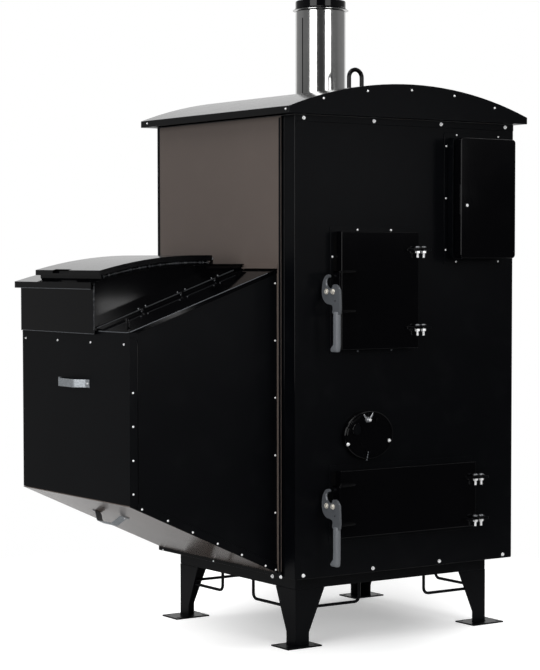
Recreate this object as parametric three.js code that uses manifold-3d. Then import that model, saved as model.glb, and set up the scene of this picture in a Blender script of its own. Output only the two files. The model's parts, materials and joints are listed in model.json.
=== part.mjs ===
// Outdoor wood boiler with a side fuel bin. Millimetres, +Z up, front towards -Y, fuel bin on the -X side.
import * as THREE from "three";
import Module from "manifold-3d";
import { mergeVertices } from "three/addons/utils/BufferGeometryUtils.js";

const wasm = await Module();
wasm.setup();

// Clearances
const gap = 0.3;
const runFit = 0.1;

// Cabinet
const cabinetWide = 1050;
const cabinetDeep = 985;
const cabinetBase = 270;
const cabinetTop = 1992;
const sheet = 3;
const cornerReturn = 72;
const cornerRecess = 9;
const cornerSeam = 20;
const rearReturn = 20;
const panFlange = 20;
const headerTall = 24;

// Stand
const legArrisX = 62;
const legArrisFront = 86;
const legArrisRear = 917;
const railTall = 53;
const railWide = 45;
const crossRailX = [340, 650];
const legPlate = 6;
const legTopWide = 134;
const legFootWide = 62;
const legKneeTall = 50;
const footWide = 155;
const footDeep = 114;
const footPlate = 6;
const footOutX = 62;
const footOutY = 41;
const footHoleRadius = 7;
const footHoleInset = 18;
const braceRadius = 6;
const braceReach = 305;
const braceHeight = 144;
const braceBend = 22;
const braceBite = 1;

// Roof
const roofSheet = 2.5;
const roofSideOver = 46;
const roofFrontOver = 33;
const roofRearOver = 52;
const eaveTall = 26;
const roofRise = 103;
const roofSteps = 24;
const gableSeat = 40;

// Chimney and lifting eye
const chimneyY = 578;
const chimneyRadius = 101.5;
const chimneyWall = 2;
const linerRadius = 76;
const linerWall = 2;
const bandTop = 2500;
const bandTall = 34;
const bandRimTall = 11;
const bandLap = 1.3;
const bandRimOut = 11;
const eyeY = 340;
const eyeHalf = 33;
const eyeRadius = 6.5;
const eyeTop = 2216;

// Fuel bin
const binOut = 636;
const binFront = 118;
const binRear = 940;
const binOuterBase = 575;
const binOuterTop = 1198;
const binInnerBase = 283;
const binInnerTop = 1422;
const binFlange = 33;
const hoodOut = 648;
const hoodFront = 350;
const hoodRear = 932;
const hoodDrop = 11;
const hoodLipOut = 20;
const hoodLipTall = 24;
const hoodLipY = 12;
const hoodFlatFrom = 200;
const hoodTopZ = 1443;
const hoodFall = 0.00031;
const collarTall = 26;
const collarInset = 14;
const lidOut = 626;
const lidIn = 142;
const lidFront = 345;
const lidRear = 850;
const lidRise = 33;
const lidSkirt = 20;
const lidSheet = 3;
const lidPinRadius = 5;
const lidPinGap = 13;
const lidPinRise = 20;
const lidKnuckle = 10;
const lidNotchFrom = 583;
const lidNotchTo = 710;
const lidNotchDeep = 14;

// Strap pulls on the bin
const pullBar = 110;
const pullLeg = 42;
const pullFoot = 22;
const pullOff = 35;
const pullWide = 30;
const pullThick = 3;

// Doors
const doorFace = 50;
const doorBack = 18;
const doorRim = 16;
const frameFlange = 3;
const frameOut = 18;
const throatIn = 24;
const throatWall = 4;
const gasketWide = 11;
const ribTall = 6;
const ribPitch = 147;
const ribEnd = 242;
const ribOut = 24;
const leverX = 116;
const leverThick = 10;
const leverPivotY = -80;
const bracketGap = 7;
const bracketThick = 6;
const leverBoltRadius = 5;
const leverHeadRadius = 10;
const leverHeadTall = 7;
const leverBoltPitch = 41;
const gripWide = 28;
const gripOff = 18;
const gripDrop = 76;
const gripLong = 130;
const gripThick = 22;
const hingeAxisY = -66;
const hingeEar = 8;
const hingeEarHalf = 13;
const hingePitch = 29;
const hingeTail = 46;
const hingeLink = 5;
const hingePinRadius = 5;
const hingeNutRadius = 9;
const hingeNutTall = 13;
const hingeLugWide = 21;

// Control box
const boxLeft = 720;
const boxRight = 980;
const boxLow = 1462;
const boxHigh = 1930;
const boxFlangeOut = 20;
const boxRimDeep = 33;
const boxInset = 12;
const boxInnerDeep = 86;
const coverLeft = 711;
const coverRight = 985;
const coverLow = 1465;
const coverHigh = 1927;
const coverFace = 94;
const coverBack = 61;
const coverHingeOut = 4;
const coverSheet = 2;
const boxRound = 14;
const lockX = 741;
const lockZ = 1668;
const lockRadius = 8;

// Port between the doors
const portX = 328;
const portZ = 797;
const portHalfWide = 114;
const portHalfTall = 93;
const portPlate = 22;
const portBore = 44;
const portSleeve = 4;
const damperThick = 6;
const damperPivotZ = -62;
const damperPinRadius = 4;
const sightX = -60;
const sightZ = 23;
const sightRadius = 20;
const wingX = -14;
const wingZ = 59;
const wingSpan = 33;
const studRadius = 5;

// Boiler inside
const jacketWall = 6;
const jacketX = [92, 958];
const jacketY = [96, 892];
const jacketZ = [302, 1930];
const waterWay = 60;
const fireTop = 1740;
const nippleRadius = 22;
const nippleBore = 16;
const nippleX = 880;
const supplyZ = 1700;
const returnZ = 480;
const augerY = 528;
const augerZ = 470;
const augerTube = 45;
const augerWall = 3;
const augerOut = 150;
const augerShaft = 9;
const augerFlight = 38;
const augerPitch = 60;
const motorLong = 86;
const motorHalf = 64;
const motorTall = 108;
const blowerX = 300;
const blowerZ = 560;
const blowerRadius = 80;
const blowerDeep = 74;
const blowerWall = 3;
const blowerInlet = 42;
const wheelRadius = 62;
const wheelBlades = 9;

// --- Solids ---
function toSolid(geometry) {
  const plain = geometry.clone();
  plain.deleteAttribute("normal");
  plain.deleteAttribute("uv");
  const merged = mergeVertices(plain, 1e-4);
  return new wasm.Manifold(
    new wasm.Mesh({
      numProp: 3,
      vertProperties: merged.attributes.position.array,
      triVerts: new Uint32Array(merged.index.array),
    }),
  );
}

function toGeometry(solid) {
  const mesh = solid.getMesh();
  const geometry = new THREE.BufferGeometry();
  geometry.setAttribute("position", new THREE.BufferAttribute(mesh.vertProperties, 3));
  geometry.setIndex(new THREE.BufferAttribute(mesh.triVerts, 1));
  return geometry;
}

const join = (...solids) => solids.reduce((sum, next) => sum.add(next));
const cut = (body, ...tools) => tools.reduce((rest, tool) => rest.subtract(tool), body);

function block(x, y, z) {
  const geometry = new THREE.BoxGeometry(x[1] - x[0], y[1] - y[0], z[1] - z[0]);
  geometry.translate((x[0] + x[1]) / 2, (y[0] + y[1]) / 2, (z[0] + z[1]) / 2);
  return toSolid(geometry);
}

// A flat outline pushed along one axis; the outline is (y, z), (x, z) or (x, y) for axis x, y or z.
function prism(points, axis, from, to, holes = []) {
  const flip = axis === "y";
  const make = (list, Kind) => new Kind(list.map(([a, b]) => new THREE.Vector2(flip ? -a : a, b)));
  const shape = make(points, THREE.Shape);
  holes.forEach((hole) => shape.holes.push(make(hole, THREE.Path)));
  const geometry = new THREE.ExtrudeGeometry(shape, { depth: to - from, bevelEnabled: false });
  const turn = new THREE.Matrix4();
  if (axis === "x") turn.set(0, 0, 1, from, 1, 0, 0, 0, 0, 1, 0, 0, 0, 0, 0, 1);
  if (axis === "y") turn.set(-1, 0, 0, 0, 0, 0, 1, from, 0, 1, 0, 0, 0, 0, 0, 1);
  if (axis === "z") turn.makeTranslation(0, 0, from);
  geometry.applyMatrix4(turn);
  return toSolid(geometry);
}

const circle = (a, b, radiusA, sides, radiusB = radiusA) =>
  Array.from({ length: sides }, (_, i) => {
    const turn = ((i + 0.5) * 2 * Math.PI) / sides;
    return [a + radiusA * Math.cos(turn), b + radiusB * Math.sin(turn)];
  });

const arc = (a, b, radius, fromDeg, toDeg, steps) =>
  Array.from({ length: steps + 1 }, (_, i) => {
    const turn = ((fromDeg + ((toDeg - fromDeg) * i) / steps) * Math.PI) / 180;
    return [a + radius * Math.cos(turn), b + radius * Math.sin(turn)];
  });

const bar = (axis, a, b, radius, from, to, sides = 24) => prism(circle(a, b, radius, sides), axis, from, to);

function rounded(x, z, radius, steps = 3) {
  const points = [];
  const corners = [[x[1], z[1], 0], [x[0], z[1], 1], [x[0], z[0], 2], [x[1], z[0], 3]];
  for (const [cornerX, cornerZ, quarter] of corners) {
    const centreX = cornerX + (cornerX === x[1] ? -radius : radius);
    const centreZ = cornerZ + (cornerZ === z[1] ? -radius : radius);
    for (let i = 0; i <= steps; i++) {
      const turn = ((quarter + i / steps) * Math.PI) / 2;
      points.push([centreX + radius * Math.cos(turn), centreZ + radius * Math.sin(turn)]);
    }
  }
  return points;
}

// A round rod along a path whose inner corners are bent to a radius.
function rod(points, radius, bend, sides = 8) {
  const path = points.map((point) => new THREE.Vector3(...point));
  const line = [path[0]];
  for (let i = 1; i < path.length - 1; i++) {
    const into = path[i - 1].clone().sub(path[i]).normalize();
    const out = path[i + 1].clone().sub(path[i]).normalize();
    const half = into.angleTo(out) / 2;
    const back = bend / Math.tan(half);
    const centre = into.clone().add(out).normalize().multiplyScalar(bend / Math.sin(half)).add(path[i]);
    const start = path[i].clone().addScaledVector(into, back).sub(centre);
    const end = path[i].clone().addScaledVector(out, back).sub(centre);
    const sweep = start.angleTo(end);
    const normal = start.clone().cross(end).normalize();
    const steps = Math.max(3, Math.round(sweep / 0.35));
    for (let step = 0; step <= steps; step++)
      line.push(start.clone().applyAxisAngle(normal, (sweep * step) / steps).add(centre));
  }
  line.push(path[path.length - 1]);
  const side = new THREE.Vector3();
  const first = line[1].clone().sub(line[0]).normalize();
  side.set(Math.abs(first.x) < 0.9 ? 1 : 0, Math.abs(first.x) < 0.9 ? 0 : 1, 0);
  const positions = [];
  const faces = [];
  let normal = side.clone().cross(first).normalize();
  line.forEach((point, i) => {
    const before = point.clone().sub(line[Math.max(0, i - 1)]);
    const after = line[Math.min(line.length - 1, i + 1)].clone().sub(point);
    const along = before.normalize().add(after.normalize()).normalize();
    normal = normal.clone().addScaledVector(along, -normal.dot(along)).normalize();
    const other = along.clone().cross(normal);
    for (let s = 0; s < sides; s++) {
      const turn = ((s + 0.5) * 2 * Math.PI) / sides;
      const spot = point.clone().addScaledVector(normal, radius * Math.cos(turn));
      spot.addScaledVector(other, radius * Math.sin(turn));
      positions.push(spot.x, spot.y, spot.z);
    }
  });
  const rings = line.length;
  for (let i = 0; i < rings - 1; i++)
    for (let s = 0; s < sides; s++) {
      const next = (s + 1) % sides;
      const a = i * sides + s;
      const b = i * sides + next;
      faces.push(a, b, a + sides, b, b + sides, a + sides);
    }
  for (let s = 1; s < sides - 1; s++) {
    faces.push(0, s + 1, s);
    const last = (rings - 1) * sides;
    faces.push(last, last + s, last + s + 1);
  }
  const geometry = new THREE.BufferGeometry();
  geometry.setAttribute("position", new THREE.BufferAttribute(new Float32Array(positions), 3));
  geometry.setIndex(faces);
  return toSolid(geometry);
}

// --- Materials and the node list ---
const paint = (color, roughness = 0.5, metalness = 0.3) =>
  new THREE.MeshStandardMaterial({ color, roughness, metalness });
const black = paint(0x17181b, 0.42);
const taupe = paint(0x6b615b, 0.4);
const steel = paint(0x9a9da1, 0.35, 0.9);
const grey = paint(0x6d727a, 0.55);
const dark = paint(0x34363a, 0.7);
const rope = paint(0xb9b2a4, 0.95, 0);

const group = new THREE.Group();
group.name = "outdoor_wood_boiler";
function node(name, solid, material) {
  const mesh = new THREE.Mesh(toGeometry(solid), material);
  mesh.name = name;
  group.add(mesh);
}

// --- Stand ---
const railTop = cabinetBase - gap;
const railBase = railTop - railTall;
const legRight = cabinetWide - legArrisX;
const railX = [legArrisX, legRight];
const railY = [legArrisFront, legArrisRear];
const bayStarts = [railX[0], ...crossRailX].map((x) => x + railWide);
const bayEnds = [...crossRailX, railX[1] - railWide];
const bayY = [railY[0] + railWide, railY[1] - railWide];
const railPockets = bayStarts.map((from, i) => block([from, bayEnds[i]], bayY, [railBase - 1, railTop + 1]));
node("base_frame", cut(block(railX, railY, [railBase, railTop]), ...railPockets), black);

const legTop = railBase - gap;
function leg(name, cornerX, cornerY, sideX, sideY) {
  const along = (origin, side, from, to) => [origin + side * from, origin + side * to].sort((a, b) => a - b);
  const outline = (origin, side) => {
    const list = [[0, footPlate - 1], [0, legTop], [legTopWide, legTop], [legFootWide, legKneeTall]];
    list.push([legFootWide, footPlate - 1]);
    return list.map(([a, z]) => [origin + side * a, z]);
  };
  const plateX = along(cornerX, sideX, 0, legPlate);
  const plateY = along(cornerY, sideY, 0, legPlate);
  const faceX = prism(outline(cornerY, sideY), "x", plateX[0], plateX[1]);
  const faceY = prism(outline(cornerX, sideX), "y", plateY[0], plateY[1]);
  const footX = along(cornerX, sideX, -footOutX, footWide - footOutX);
  const footY = along(cornerY, sideY, -footOutY, footDeep - footOutY);
  const foot = block(footX, footY, [0, footPlate]);
  const holes = [footX[0] + footHoleInset, footX[1] - footHoleInset].flatMap((x) =>
    [footY[0] + footHoleInset, footY[1] - footHoleInset].map((y) =>
      bar("z", x, y, footHoleRadius, -1, footPlate + 1, 16),
    ),
  );
  const braceIn = legPlate + braceRadius - braceBite;
  const braceX = cornerX + sideX * braceIn;
  const braceY = cornerY + sideY * braceIn;
  const braceStart = legFootWide - braceRadius;
  const farY = cornerY + sideY * braceReach;
  const farX = cornerX + sideX * braceReach;
  const sidePath = [[braceX, cornerY + sideY * braceStart, braceHeight], [braceX, farY, braceHeight]];
  const frontPath = [[cornerX + sideX * braceStart, braceY, braceHeight], [farX, braceY, braceHeight]];
  const sideBrace = rod([...sidePath, [braceX, farY, legTop]], braceRadius, braceBend);
  const frontBrace = rod([...frontPath, [farX, braceY, legTop]], braceRadius, braceBend);
  node(name, cut(join(faceX, faceY, foot, sideBrace, frontBrace), ...holes), black);
}
leg("leg_front_left", legArrisX, legArrisFront, 1, 1);
leg("leg_front_right", legRight, legArrisFront, -1, 1);
leg("leg_rear_left", legArrisX, legArrisRear, 1, -1);
leg("leg_rear_right", legRight, legArrisRear, -1, -1);

// --- Doors: sizes used by the panels, the boiler and the doors ---
const doors = {
  fire: { x: [177, 540], z: [1123, 1564], pivotZ: 1341, hingeZ: [1506, 1210], hingeX: 551 },
  ash: { x: [173, 826], z: [418, 670], pivotZ: 544, hingeZ: [620, 459], hingeX: 840 },
};
const throat = ({ x, z }, grow = 0) => ({
  x: [x[0] + throatIn - grow, x[1] - throatIn + grow],
  z: [z[0] + throatIn - grow, z[1] - throatIn + grow],
});

// --- Cabinet ---
const innerX = [sheet + gap, cabinetWide - sheet - gap];
const innerY = [sheet + gap, cabinetDeep - sheet - gap];
const sideFrom = cornerReturn + cornerSeam;
const sideTo = cabinetDeep - rearReturn - gap;
const panTop = cabinetBase + panFlange;
{
  const recess = cornerRecess + sheet + gap;
  const plate = block([recess, cabinetWide - recess], innerY, [cabinetBase, cabinetBase + sheet]);
  const wide = block([0, cabinetWide], [sideFrom, sideTo], [cabinetBase, cabinetBase + sheet]);
  const flanges = [[0, sheet], [cabinetWide - sheet, cabinetWide]].map((x) =>
    block(x, [sideFrom, sideTo], [cabinetBase, panTop]),
  );
  node("floor_pan", join(plate, wide, ...flanges), black);
}
{
  const returnTo = sideFrom + cornerSeam;
  const side = (at, s) => [
    [at, 0],
    [at, cornerReturn],
    [at + s * cornerRecess, cornerReturn],
    [at + s * cornerRecess, returnTo],
    [at + s * (cornerRecess + sheet), returnTo],
    [at + s * (cornerRecess + sheet), cornerReturn - sheet],
    [at + s * sheet, cornerReturn - sheet],
    [at + s * sheet, sheet],
  ];
  const outline = [...side(0, 1), ...side(cabinetWide, -1).reverse()];
  const cuts = [doors.fire, doors.ash].map((door) => {
    const hole = throat(door, throatWall + gap);
    return block(hole.x, [-1, sheet + 1], hole.z);
  });
  cuts.push(bar("y", portX, portZ, portBore + portSleeve + gap * 2, -1, sheet + 1, 32));
  const notch = [cabinetBase - 1, panTop + gap];
  const below = [sideFrom - gap, returnTo + 1];
  cuts.push(block([-1, cornerRecess + sheet + 1], below, notch));
  cuts.push(block([cabinetWide - cornerRecess - sheet - 1, cabinetWide + 1], below, notch));
  node("front_panel", cut(prism(outline, "z", cabinetBase, cabinetTop), ...cuts), black);
  const header = [cabinetTop - headerTall, cabinetTop];
  node("header_strip", block([0, cabinetWide], [-sheet - gap, -gap], header), black);
}
const augerHole = () => bar("x", augerY, augerZ, augerTube + gap * 2, -1, sheet + 1, 28);
const sidePanel = (x) => block(x, [sideFrom, sideTo], [panTop + gap, cabinetTop]);
node("left_panel", cut(sidePanel([0, sheet]), augerHole()), taupe);
node("right_panel", sidePanel([cabinetWide - sheet, cabinetWide]), taupe);
{
  const back = cabinetDeep - sheet;
  const outline = [[0, cabinetDeep - rearReturn], [sheet, cabinetDeep - rearReturn], [sheet, back]];
  outline.push([cabinetWide - sheet, back], [cabinetWide - sheet, cabinetDeep - rearReturn]);
  outline.push([cabinetWide, cabinetDeep - rearReturn], [cabinetWide, cabinetDeep], [0, cabinetDeep]);
  const through = [back - 1, cabinetDeep + 1];
  const pipes = [supplyZ, returnZ].map((z) => bar("y", nippleX, z, nippleRadius + gap * 2, ...through));
  const inlet = bar("y", blowerX, blowerZ, blowerInlet, ...through, 28);
  node("rear_panel", cut(prism(outline, "z", cabinetBase, cabinetTop), ...pipes, inlet), black);
}

// --- Roof ---
const centreX = cabinetWide / 2;
const roofHalf = centreX + roofSideOver;
const deckZ = [cabinetTop + gap, cabinetTop + gap + roofSheet];
const eaveBase = deckZ[1] + gap;
const eaveTop = eaveBase + eaveTall;
const roofRadius = (roofHalf ** 2 + roofRise ** 2) / (2 * roofRise);
const roofCentreZ = eaveTop + roofRise - roofRadius;
const roofArc = (inset, half = roofHalf - inset) => {
  const radius = roofRadius - inset;
  const turn = Math.asin(half / radius);
  return Array.from({ length: roofSteps + 1 }, (_, i) => {
    const angle = turn * (1 - (2 * i) / roofSteps);
    return [centreX + radius * Math.sin(angle), roofCentreZ + radius * Math.cos(angle)];
  });
};
const roofY = [-roofFrontOver, cabinetDeep + roofRearOver];
const eyeHole = (z) => block([centreX - eyeHalf - eyeRadius - 1, centreX + eyeHalf + eyeRadius + 1],
  [eyeY - eyeRadius - 1, eyeY + eyeRadius + 1], z);
const chimneyHole = (from, to) => bar("z", centreX, chimneyY, chimneyRadius + 1.5, from, to, 40);
{
  const left = centreX - roofHalf;
  const right = centreX + roofHalf;
  const outline = [[right, eaveBase], ...roofArc(0), [left, eaveBase]];
  outline.push([left + roofSheet, eaveBase], ...roofArc(roofSheet).reverse(), [right - roofSheet, eaveBase]);
  const skin = prism(outline, "y", roofY[0] + roofSheet + gap, roofY[1] - roofSheet - gap);
  const holeZ = [eaveTop, eaveTop + roofRise + 10];
  node("roof_sheet", cut(skin, chimneyHole(...holeZ), eyeHole(holeZ)), black);
  const face = [[right, eaveBase], ...roofArc(0), [left, eaveBase]];
  const lip = [eaveBase, eaveBase + roofSheet];
  const inside = [left + roofSheet + gap, right - roofSheet - gap];
  const front = prism(face, "y", roofY[0], roofY[0] + roofSheet);
  node("front_gable", join(front, block(inside, [roofY[0], gableSeat], lip)), black);
  const rear = prism(face, "y", roofY[1] - roofSheet, roofY[1]);
  node("rear_gable", join(rear, block(inside, [cabinetDeep - gableSeat, roofY[1]], lip)), black);
  const through = [deckZ[0] - 1, deckZ[1] + 1];
  const plate = block([0, cabinetWide], [0, cabinetDeep], deckZ);
  node("top_deck", cut(plate, chimneyHole(...through), eyeHole(through)), dark);
}

// --- Chimney and lifting eye ---
const pipe = (outer, inner, from, to) =>
  prism(circle(centreX, chimneyY, outer, 36), "z", from, to, [circle(centreX, chimneyY, inner, 36)]);
const rimFrom = bandTop - bandTall - bandRimTall + bandLap;
const pipeFoot = jacketZ[1] + gap;
node("chimney_pipe", pipe(chimneyRadius, chimneyRadius - chimneyWall, pipeFoot, rimFrom - gap), steel);
node("chimney_liner", pipe(linerRadius, linerRadius - linerWall, fireTop + gap, bandTop - 6), steel);
{
  const bandInner = linerRadius + gap * 3;
  const rim = pipe(chimneyRadius + bandRimOut, bandInner, rimFrom, rimFrom + bandRimTall);
  node("chimney_band", join(rim, pipe(chimneyRadius, bandInner, bandTop - bandTall, bandTop)), black);
}
{
  const top = eyeTop - eyeRadius;
  const foot = jacketZ[1] + gap;
  const path = [[centreX - eyeHalf, eyeY, foot], [centreX - eyeHalf, eyeY, top]];
  path.push([centreX + eyeHalf, eyeY, top], [centreX + eyeHalf, eyeY, foot]);
  node("lifting_eye", rod(path, eyeRadius, eyeHalf - 0.5), black);
}

// --- Fuel bin ---
const baseAt = (x) => binInnerBase + ((binOuterBase - binInnerBase) * -x) / binOut;
const topAt = (x) => binInnerTop - ((binInnerTop - binOuterTop) * -x) / binOut;
const slopeBase = Math.hypot(1, (binOuterBase - binInnerBase) / binOut);
const baseSheet = sheet * slopeBase;
const wrapY = [binFront - sheet - gap, binRear + sheet + gap];
{
  const outline = [[-binOut, wrapY[0]], [-binOut + binFlange, wrapY[0]]];
  outline.push([-binOut + binFlange, wrapY[0] + sheet]);
  outline.push([-binOut + sheet, wrapY[0] + sheet], [-binOut + sheet, wrapY[1] - sheet]);
  outline.push([-binOut + binFlange, wrapY[1] - sheet], [-binOut + binFlange, wrapY[1]], [-binOut, wrapY[1]]);
  node("bin_outer_panel", prism(outline, "z", binOuterBase + baseSheet + gap, binOuterTop), black);
}
const binIn = -gap;
const binEdge = -binOut + sheet + gap;
{
  const lift = baseSheet + gap;
  const wall = [[binEdge, baseAt(binEdge) + lift], [binEdge, topAt(binEdge)], [binIn, topAt(binIn)]];
  wall.push([binIn, baseAt(binIn) + lift]);
  node("bin_front_panel", prism(wall, "y", binFront, binFront + sheet), black);
  node("bin_rear_panel", prism(wall, "y", binRear - sheet, binRear), black);
  const under = (from, to) => [[-binOut, baseAt(-binOut) + from], [-binOut, baseAt(-binOut) + to],
    [binIn, baseAt(binIn) + to], [binIn, baseAt(binIn) + from]];
  const floor = prism(under(0, baseSheet), "y", wrapY[0], wrapY[1]);
  const trimX = -binOut + binFlange + gap;
  const trim = [[trimX, baseAt(trimX)], [trimX, baseAt(trimX) + binFlange]];
  trim.push([binIn, baseAt(binIn) + binFlange], [binIn, baseAt(binIn)]);
  const trims = [wrapY[0], wrapY[1] - sheet].map((from) => prism(trim, "y", from, from + sheet));
  const below = cut(floor, block([-binOut - 1, -binOut + 0.01], wrapY, [0, binOuterBase]));
  node("bin_bottom_panel", join(below, ...trims), taupe);
}
const collarX = [-binOut + 4, -24];
const collarY = [hoodFront + sheet + gap, hoodRear - sheet - gap];
{
  const band = (x, from, to) => [[x[0], topAt(x[0]) + from], [x[1], topAt(x[1]) + from],
    [x[1], topAt(x[1]) + to], [x[0], topAt(x[0]) + to]];
  const plateX = [-binOut, binIn];
  const plate = prism(band(plateX, gap, sheet + gap), "y", wrapY[0], wrapY[1]);
  const collar = prism(band(collarX, gap, 18), "y", collarY[0], collarY[1]);
  const openX = [collarX[0] + 8, collarX[1] - sheet];
  const open = prism(band(openX, -5, 30), "y", collarY[0] + sheet, collarY[1] - sheet);
  const frontLip = prism(band(plateX, -14, gap + 1), "y", wrapY[0], wrapY[0] + sheet);
  const clearX = [-binOut - 1, -binOut + binFlange + gap];
  const clear = block(clearX, [wrapY[0] - 1, wrapY[0] + sheet + 1], [0, binOuterTop + gap]);
  node("bin_top_panel", join(cut(join(plate, collar), open), cut(frontLip, clear)), black);
}
const hoodZ = (x) => hoodTopZ - (x < -hoodFlatFrom ? hoodFall * (x + hoodFlatFrom) ** 2 : 0);
const hoodCurve = (x, lift, steps = 10) =>
  Array.from({ length: steps + 1 }, (_, i) => {
    const at = x[0] + ((x[1] - x[0]) * i) / steps;
    return [at, hoodZ(at) + lift];
  });
const curved = (x, y, low, high) =>
  prism([...hoodCurve(x, low), ...hoodCurve(x, high).reverse()], "y", y[0], y[1]);
const deckX = [-hoodOut - hoodLipOut, binIn];
const deckY = [hoodFront - hoodLipY, hoodRear + hoodLipY];
{
  const lift = sheet + gap * 2;
  const foot = [[-hoodOut, binOuterTop - hoodDrop], [-binOut - gap, binOuterTop - hoodDrop]];
  foot.push([-binOut - gap, topAt(-binOut) + lift], [binIn, topAt(binIn) + lift]);
  const outline = [...foot, ...hoodCurve([-hoodOut, binIn], -sheet - gap).reverse()];
  const whole = prism(outline, "y", hoodFront, hoodRear);
  const insideX = [-hoodOut + sheet, binIn - sheet];
  const inside = block(insideX, [hoodFront + sheet, hoodRear - sheet], [0, hoodTopZ + 20]);
  node("bin_hood", cut(whole, inside), black);
}
const lidX = [-lidOut, -lidIn];
const lidY = [lidFront, lidRear];
const neckX = [lidX[0] + collarInset, lidX[1] - collarInset];
const neckY = [lidY[0] + collarInset, lidY[1] - collarInset];
const pinX = -lidIn + lidPinGap;
const pinZ = hoodTopZ + lidPinRise;
const earY = [neckY[0] + 14, neckY[1] - 14];
const earWide = 6;
{
  const lipZ = hoodZ(deckX[0]);
  const top = curved(deckX, deckY, -sheet, 0);
  const lip = block([deckX[0], deckX[0] + sheet], deckY, [lipZ - hoodLipTall, lipZ - 1]);
  const neck = curved(neckX, neckY, -sheet, collarTall);
  const open = curved([neckX[0] + sheet, neckX[1] - sheet], [neckY[0] + sheet, neckY[1] - sheet], -9, 40);
  const ears = [earY[0], earY[1] - earWide].map((from) => {
    const low = [[pinX - 9, hoodTopZ - 1], [pinX + 9, hoodTopZ - 1]];
    const outline = [...low, ...circle(pinX, pinZ, 9, 16).filter(([, z]) => z > pinZ - 2)];
    return prism(outline, "y", from, from + earWide);
  });
  const bores = bar("y", pinX, pinZ, lidPinRadius + runFit, earY[0] - 1, earY[1] + 1, 24);
  node("hood_deck", cut(join(cut(join(top, neck), open), lip, ...ears), bores), black);
}
{
  const low = lidRise - lidSkirt;
  const shell = curved(lidX, lidY, low, lidRise);
  const insideX = [lidX[0] + lidSheet, lidX[1] - lidSheet];
  const inside = curved(insideX, [lidY[0] + lidSheet, lidY[1] - lidSheet], low - 1, lidRise - lidSheet);
  const notchZ = hoodZ(lidX[0]) + lidRise;
  const notchX = [lidX[0] - 1, lidX[0] + lidNotchDeep];
  const notch = block(notchX, [lidNotchFrom, lidNotchTo], [notchZ - 12, notchZ + 20]);
  const knuckles = [earY[0] + earWide + gap, earY[1] - earWide - gap - 18].map((from) => {
    const arm = block([lidX[1] - 1, pinX], [from, from + 18], [pinZ - 6, pinZ + 6]);
    return join(arm, bar("y", pinX, pinZ, lidKnuckle - 1, from, from + 18, 20));
  });
  const bore = bar("y", pinX, pinZ, lidPinRadius + runFit, earY[0] - 1, earY[1] + 1, 24);
  node("bin_lid", cut(join(cut(shell, inside, notch), ...knuckles), bore), black);
  node("lid_pin", bar("y", pinX, pinZ, lidPinRadius, earY[0] - 6, earY[1] + 6, 20), steel);
}
function pull(name, place) {
  const half = pullBar / 2;
  const leg = half + pullLeg;
  const foot = leg + pullFoot;
  const t = pullThick;
  const outer = [[-foot, 0], [-leg, 0], [-half, pullOff], [half, pullOff], [leg, 0], [foot, 0]];
  const inner = [[foot, t], [leg + 1, t], [half + 1.4, pullOff + t]];
  inner.push([-half - 1.4, pullOff + t], [-leg - 1, t], [-foot, t]);
  const outline = [...outer, ...inner].map(([y, out]) => [out, y]);
  const strap = toGeometry(prism(outline, "z", -pullWide / 2, pullWide / 2));
  strap.applyMatrix4(new THREE.Matrix4().makeRotationY(Math.PI));
  strap.applyMatrix4(place);
  node(name, toSolid(strap), steel);
}
{
  const outerPlace = new THREE.Matrix4().makeTranslation(-binOut - gap, 526, 1003);
  pull("bin_pull_outer", outerPlace);
  const spot = -453;
  const tilt = Math.atan2(binOuterBase - binInnerBase, binOut) - Math.PI / 2;
  const lower = new THREE.Matrix4().makeTranslation(spot, 580, baseAt(spot) - gap * slopeBase);
  lower.multiply(new THREE.Matrix4().makeRotationY(tilt));
  pull("bin_pull_bottom", lower);
}

// --- Boiler vessel ---
const fireX = [jacketX[0] + waterWay, jacketX[1] - waterWay];
const fireY = [jacketY[0] + waterWay, jacketY[1] - waterWay];
const fireZ = [jacketZ[0] + waterWay, fireTop];
const throatEnd = fireY[0] - gap;
const grown = (range, by) => [range[0] - by, range[1] + by];
const hollowBox = (x, y, z, wall) =>
  cut(block(x, y, z), block(grown(x, -wall), grown(y, -wall), grown(z, -wall)));
const wallHoles = (face, mouthGrow, portGrow) => {
  const through = [face - 1, face + jacketWall + 1];
  const mouths = [doors.fire, doors.ash].map((door) => {
    const mouth = throat(door, mouthGrow);
    return block(mouth.x, through, mouth.z);
  });
  return [...mouths, bar("y", portX, portZ, portBore + portGrow, ...through, 32)];
};
const topHole = (radius, top) => bar("z", centreX, chimneyY, radius, top - jacketWall - 1, top + 1, 36);
const feedHole = (from) => bar("x", augerY, augerZ, augerTube + gap * 2, from - 1, from + jacketWall + 1, 28);
{
  const stubY = [jacketY[1] - jacketWall - 4, cabinetDeep + 38];
  const boreY = [stubY[0] - 1, stubY[1] + 1];
  const stubs = [supplyZ, returnZ].map((z) => bar("y", nippleX, z, nippleRadius, ...stubY, 20));
  const bores = [supplyZ, returnZ].map((z) => bar("y", nippleX, z, nippleBore, ...boreY, 20));
  const holes = wallHoles(jacketY[0], throatWall + gap, portSleeve + gap);
  holes.push(topHole(linerRadius + gap, jacketZ[1]), feedHole(jacketX[0]));
  const tank = cut(hollowBox(jacketX, jacketY, jacketZ, jacketWall), ...holes);
  node("water_jacket", cut(join(tank, ...stubs), ...bores), dark);
}
{
  const holes = wallHoles(fireY[0], 0, 0);
  holes.push(topHole(linerRadius - linerWall, fireZ[1]), feedHole(fireX[0]));
  node("firebox", cut(hollowBox(fireX, fireY, fireZ, jacketWall), ...holes), dark);
}

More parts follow.
